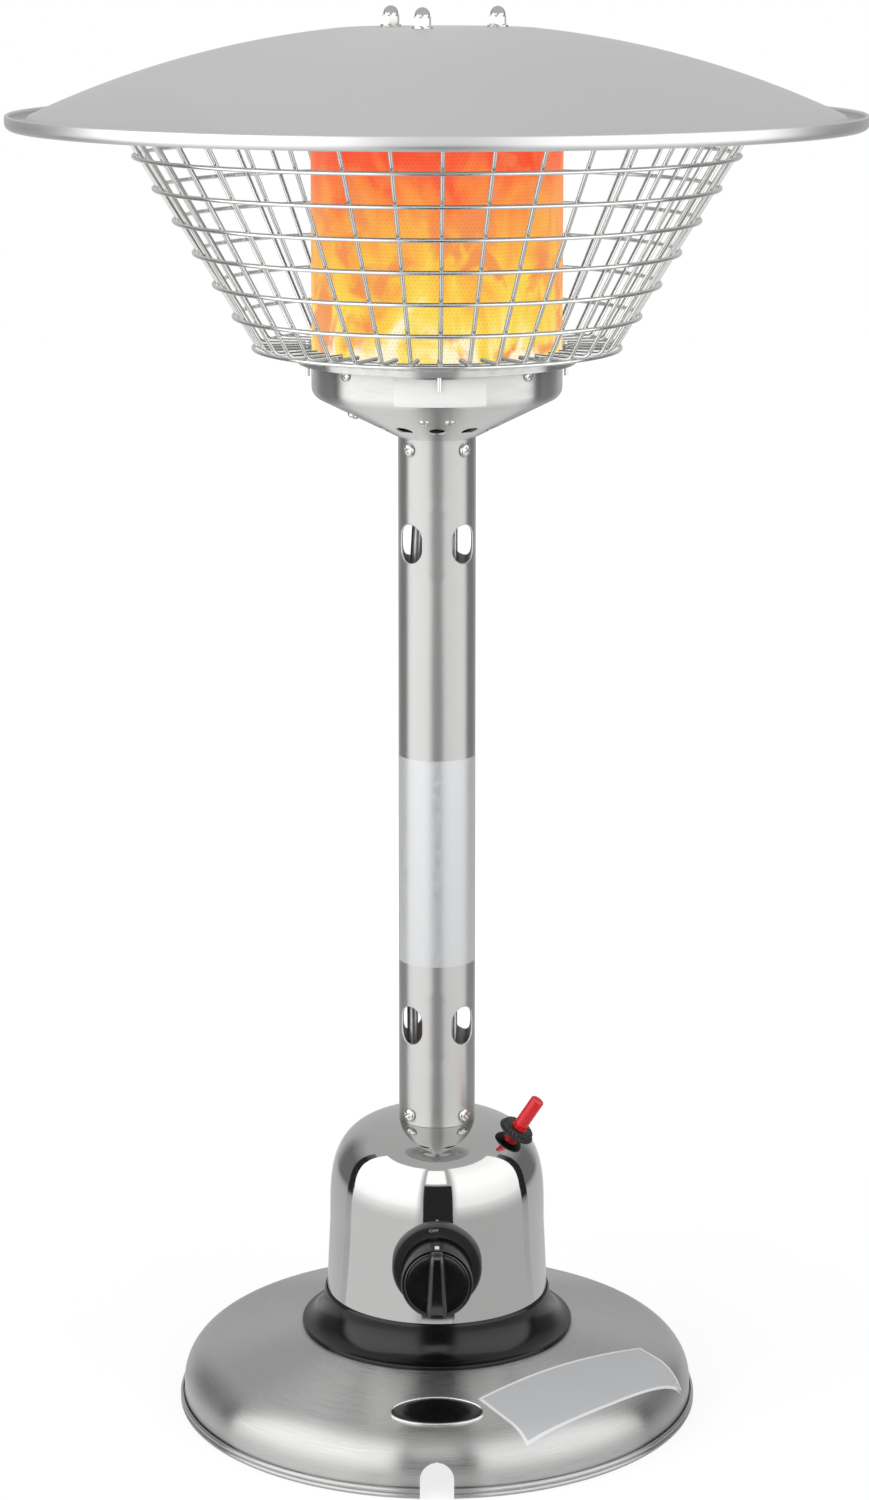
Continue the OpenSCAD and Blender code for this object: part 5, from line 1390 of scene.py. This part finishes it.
def reflector(name, start, end, path, finish, sky=0, fade=0):
    """A panel bent round the heater between two angles, seen only in reflections. Each point of its path
    gives the distance from the axis, the height and the brightness, which over the first degrees, the fade,
    rises from the level of the sky by the smooth step 3 t^2 - 2 t^3."""
    radius, height, glow = np.array(path).T[..., None]
    turn = np.linspace(start, end, 49)
    t = np.clip(np.abs(turn - start) / fade, 0, 1) if fade else np.ones(len(turn))
    glow = sky + (glow - sky) * (3 * t ** 2 - 2 * t ** 3)
    points, faces = surface(round_axis(radius, np.radians(turn), height), False, False)
    made = stage_object(name, points, faces, finish)
    made.data.attributes.new("brightness", "FLOAT", "POINT").data.foreach_set("value", glow.ravel())
    made.visible_camera = made.visible_diffuse = made.visible_shadow = made.visible_transmission = False


def make_camera(scene):
    """Camera at the viewing angle of the photograph, whose focal length and principal point are in pixels."""
    wide, high, focal, sensor, centre_x, centre_y, pitch = 869, 1500, 3593.8, 36, 437, 542.5, -9.5
    camera = bpy.data.cameras.new("camera")
    camera.sensor_fit = "VERTICAL"
    camera.sensor_height = sensor
    camera.lens = focal / high * sensor
    camera.shift_x = (wide / 2 - centre_x) / high
    camera.shift_y = (centre_y - high / 2) / high
    view = bpy.data.objects.new("camera", camera)
    view.location = (0, -2.2392, 0.9403)
    view.rotation_euler = (math.radians(90 + pitch), 0, 0)
    scene.collection.objects.link(view)
    scene.camera = view


def make_sky(scene, light):
    """Even light all round; the camera sees it as a white background."""
    scene.world = scene.world or bpy.data.worlds.new("studio")
    scene.world.use_nodes = True
    tree = scene.world.node_tree
    tree.nodes.clear()
    ray = add(tree, "ShaderNodeLightPath").outputs
    clear = add(tree, "ShaderNodeMath", {0: ray["Is Camera Ray"], 1: ray["Is Transmission Ray"]},
                operation="MAXIMUM")
    strength = add(tree, "ShaderNodeMapRange", {"Value": clear.outputs["Value"]},
                   {"To Min": light.fill, "To Max": 1.0})
    sky = add(tree, "ShaderNodeBackground", {"Strength": strength.outputs["Result"]},
              {"Color": (1, 1, 1, 1)})
    out = add(tree, "ShaderNodeOutputWorld", {"Surface": sky.outputs["Background"]})
    out.is_active_output = True


def make_lamps(scene, light):
    """Two wide soft lamps, left and right of the camera, aimed at the axis of the heater."""
    far, tall, foot = 2.0, 1.6, 0.7
    for name, turn, wide, share in (("lamp_left", -56, 2.3, 1.1), ("lamp_right", 55, 2.1, 0.78)):
        lamp = bpy.data.lights.new(name, "AREA")
        lamp.shape = "RECTANGLE"
        lamp.size = wide
        lamp.size_y = tall
        lamp.energy = math.pi * wide * tall * light.key * share
        placed = bpy.data.objects.new(name, lamp)
        x, y, z = round_axis(far, math.radians(turn), tall / 2 + foot)
        facing = axis_frame((x, y, 0), (0, 0, 1))
        placed.matrix_world = Matrix(((*facing[0], x), (*facing[1], y), (*facing[2], z), (0, 0, 0, 1)))
        placed.visible_camera = placed.visible_glossy = False
        scene.collection.objects.link(placed)


def make_panels(light):
    """Panels on the floor and upright: the mirror of the dome shows them, and the camera does not."""
    finish, flat, box, wing = reflector_finish(), 0.002, 1.98, 2.2
    # Each side: name, sign, brightness of the floor and of the soft box, and where the floor turns dark
    for name, side, near, lamp, edge in (("left", -1, 0.86, 2.0, 0.9), ("right", 1, 0.62, 1.7, 0.75)):
        reflector("soft_box_" + name, 14 * side, 98 * side, (
            (0.17, flat, near), (0.6, flat, near), (1.0, flat, near + 0.35), (box, flat, 0.8 * lamp),
            (box, 0.3, 0.9 * lamp), (box, 0.72, lamp), (box, 1.5, lamp), (box, 2.2, 0.9 * lamp),
            (1.9, 3.2, 0.85 * lamp), (1.8, 4.0, light.fill)), finish, light.fill, 9)
        reflector("dark_wing_" + name, 98 * side, 108 * side, (
            (0.17, flat, 0.66), (edge - 0.2, flat, 0.5), (edge, flat, light.wings),
            (wing, flat, light.wings), (wing, 1.4, light.wings), (wing, 2.2, light.sides)), finish)
        reflector("grey_wing_" + name, 155 * side, 108 * side, (
            (0.17, flat, 0.69), (0.8, flat, 0.6), (1.3, flat, light.sides), (wing, flat, light.sides),
            (wing, 0.8, light.sides), (wing, 1.8, light.fill)), finish, light.fill, 25)
    front, top = light.front, 0.7 * light.key
    reflector("front_panel", -14, 16, ((0.32, 2 * flat, front), (0.9, 2 * flat, front), (0.9, 0.5, front)),
              finish)
    reflector("top_panel", -13, 11, ((2.6, 1.35, top), (2.6, 3.4, top)), finish)
    # A grey flag keeps the soft boxes off the hood
    reflector("hood_flag", -106, 106, ((0.6, 0.95, light.fill), (0.6, 1.9, light.fill)), finish)


class HEATER_OT_stage(bpy.types.Operator):
    """Makes the camera, the pale floor, the lamps and the panels that the metal mirrors."""
    bl_idname = "heater.stage"
    bl_label = "Stage"

    def execute(self, context):
        scene, light, half = context.scene, context.scene.heater_light, 6.0
        scene.view_settings.view_transform = "Standard"
        make_camera(scene)
        corners = np.array([(-half, -half, 0), (half, -half, 0), (half, half, 0), (-half, half, 0)])
        stage_object("floor", corners, [(0, 1, 2, 3)], floor_finish())
        make_sky(scene, light)
        make_lamps(scene, light)
        make_panels(light)
        return {"FINISHED"}


class HEATER_PT_panel(bpy.types.Panel):
    """Sidebar list of the heater's pieces and settings."""
    bl_idname = "HEATER_PT_panel"
    bl_label = "Patio heater"
    bl_space_type = "VIEW_3D"
    bl_region_type = "UI"
    bl_category = "Heater"

    def draw(self, context):
        for operator in OPERATORS:
            self.layout.operator(operator.bl_idname)
        for group in (context.scene.heater_sizes, context.scene.heater_colours, context.scene.heater_light):
            for name in group.__annotations__:
                self.layout.prop(group, name)


OPERATORS = (HEATER_OT_base, HEATER_OT_dome, HEATER_OT_post, HEATER_OT_bowl, HEATER_OT_screws,
             HEATER_OT_emitter, HEATER_OT_guard, HEATER_OT_hood, HEATER_OT_controls, HEATER_OT_marks,
             HEATER_OT_tubes, HEATER_OT_solids, HEATER_OT_stage)
CLASSES = (HeaterSizes, HeaterColours, StageLight, *OPERATORS, HEATER_PT_panel)


def register():
    for kind in CLASSES:
        bpy.utils.register_class(kind)
    bpy.types.Scene.heater_sizes = PointerProperty(type=HeaterSizes)
    bpy.types.Scene.heater_colours = PointerProperty(type=HeaterColours)
    bpy.types.Scene.heater_light = PointerProperty(type=StageLight)


def unregister():
    del bpy.types.Scene.heater_sizes, bpy.types.Scene.heater_colours, bpy.types.Scene.heater_light
    for kind in reversed(CLASSES):
        bpy.utils.unregister_class(kind)


def main():
    """Registers the classes, and makes the finishes and the pieces in order."""
    register()
    make_finishes()
    for operator in (bpy.ops.heater.base, bpy.ops.heater.dome, bpy.ops.heater.post, bpy.ops.heater.bowl,
                     bpy.ops.heater.screws, bpy.ops.heater.emitter, bpy.ops.heater.guard,
                     bpy.ops.heater.hood, bpy.ops.heater.controls, bpy.ops.heater.marks,
                     bpy.ops.heater.tubes, bpy.ops.heater.solids, bpy.ops.heater.stage):
        operator()


if __name__ == "__main__":
    main()
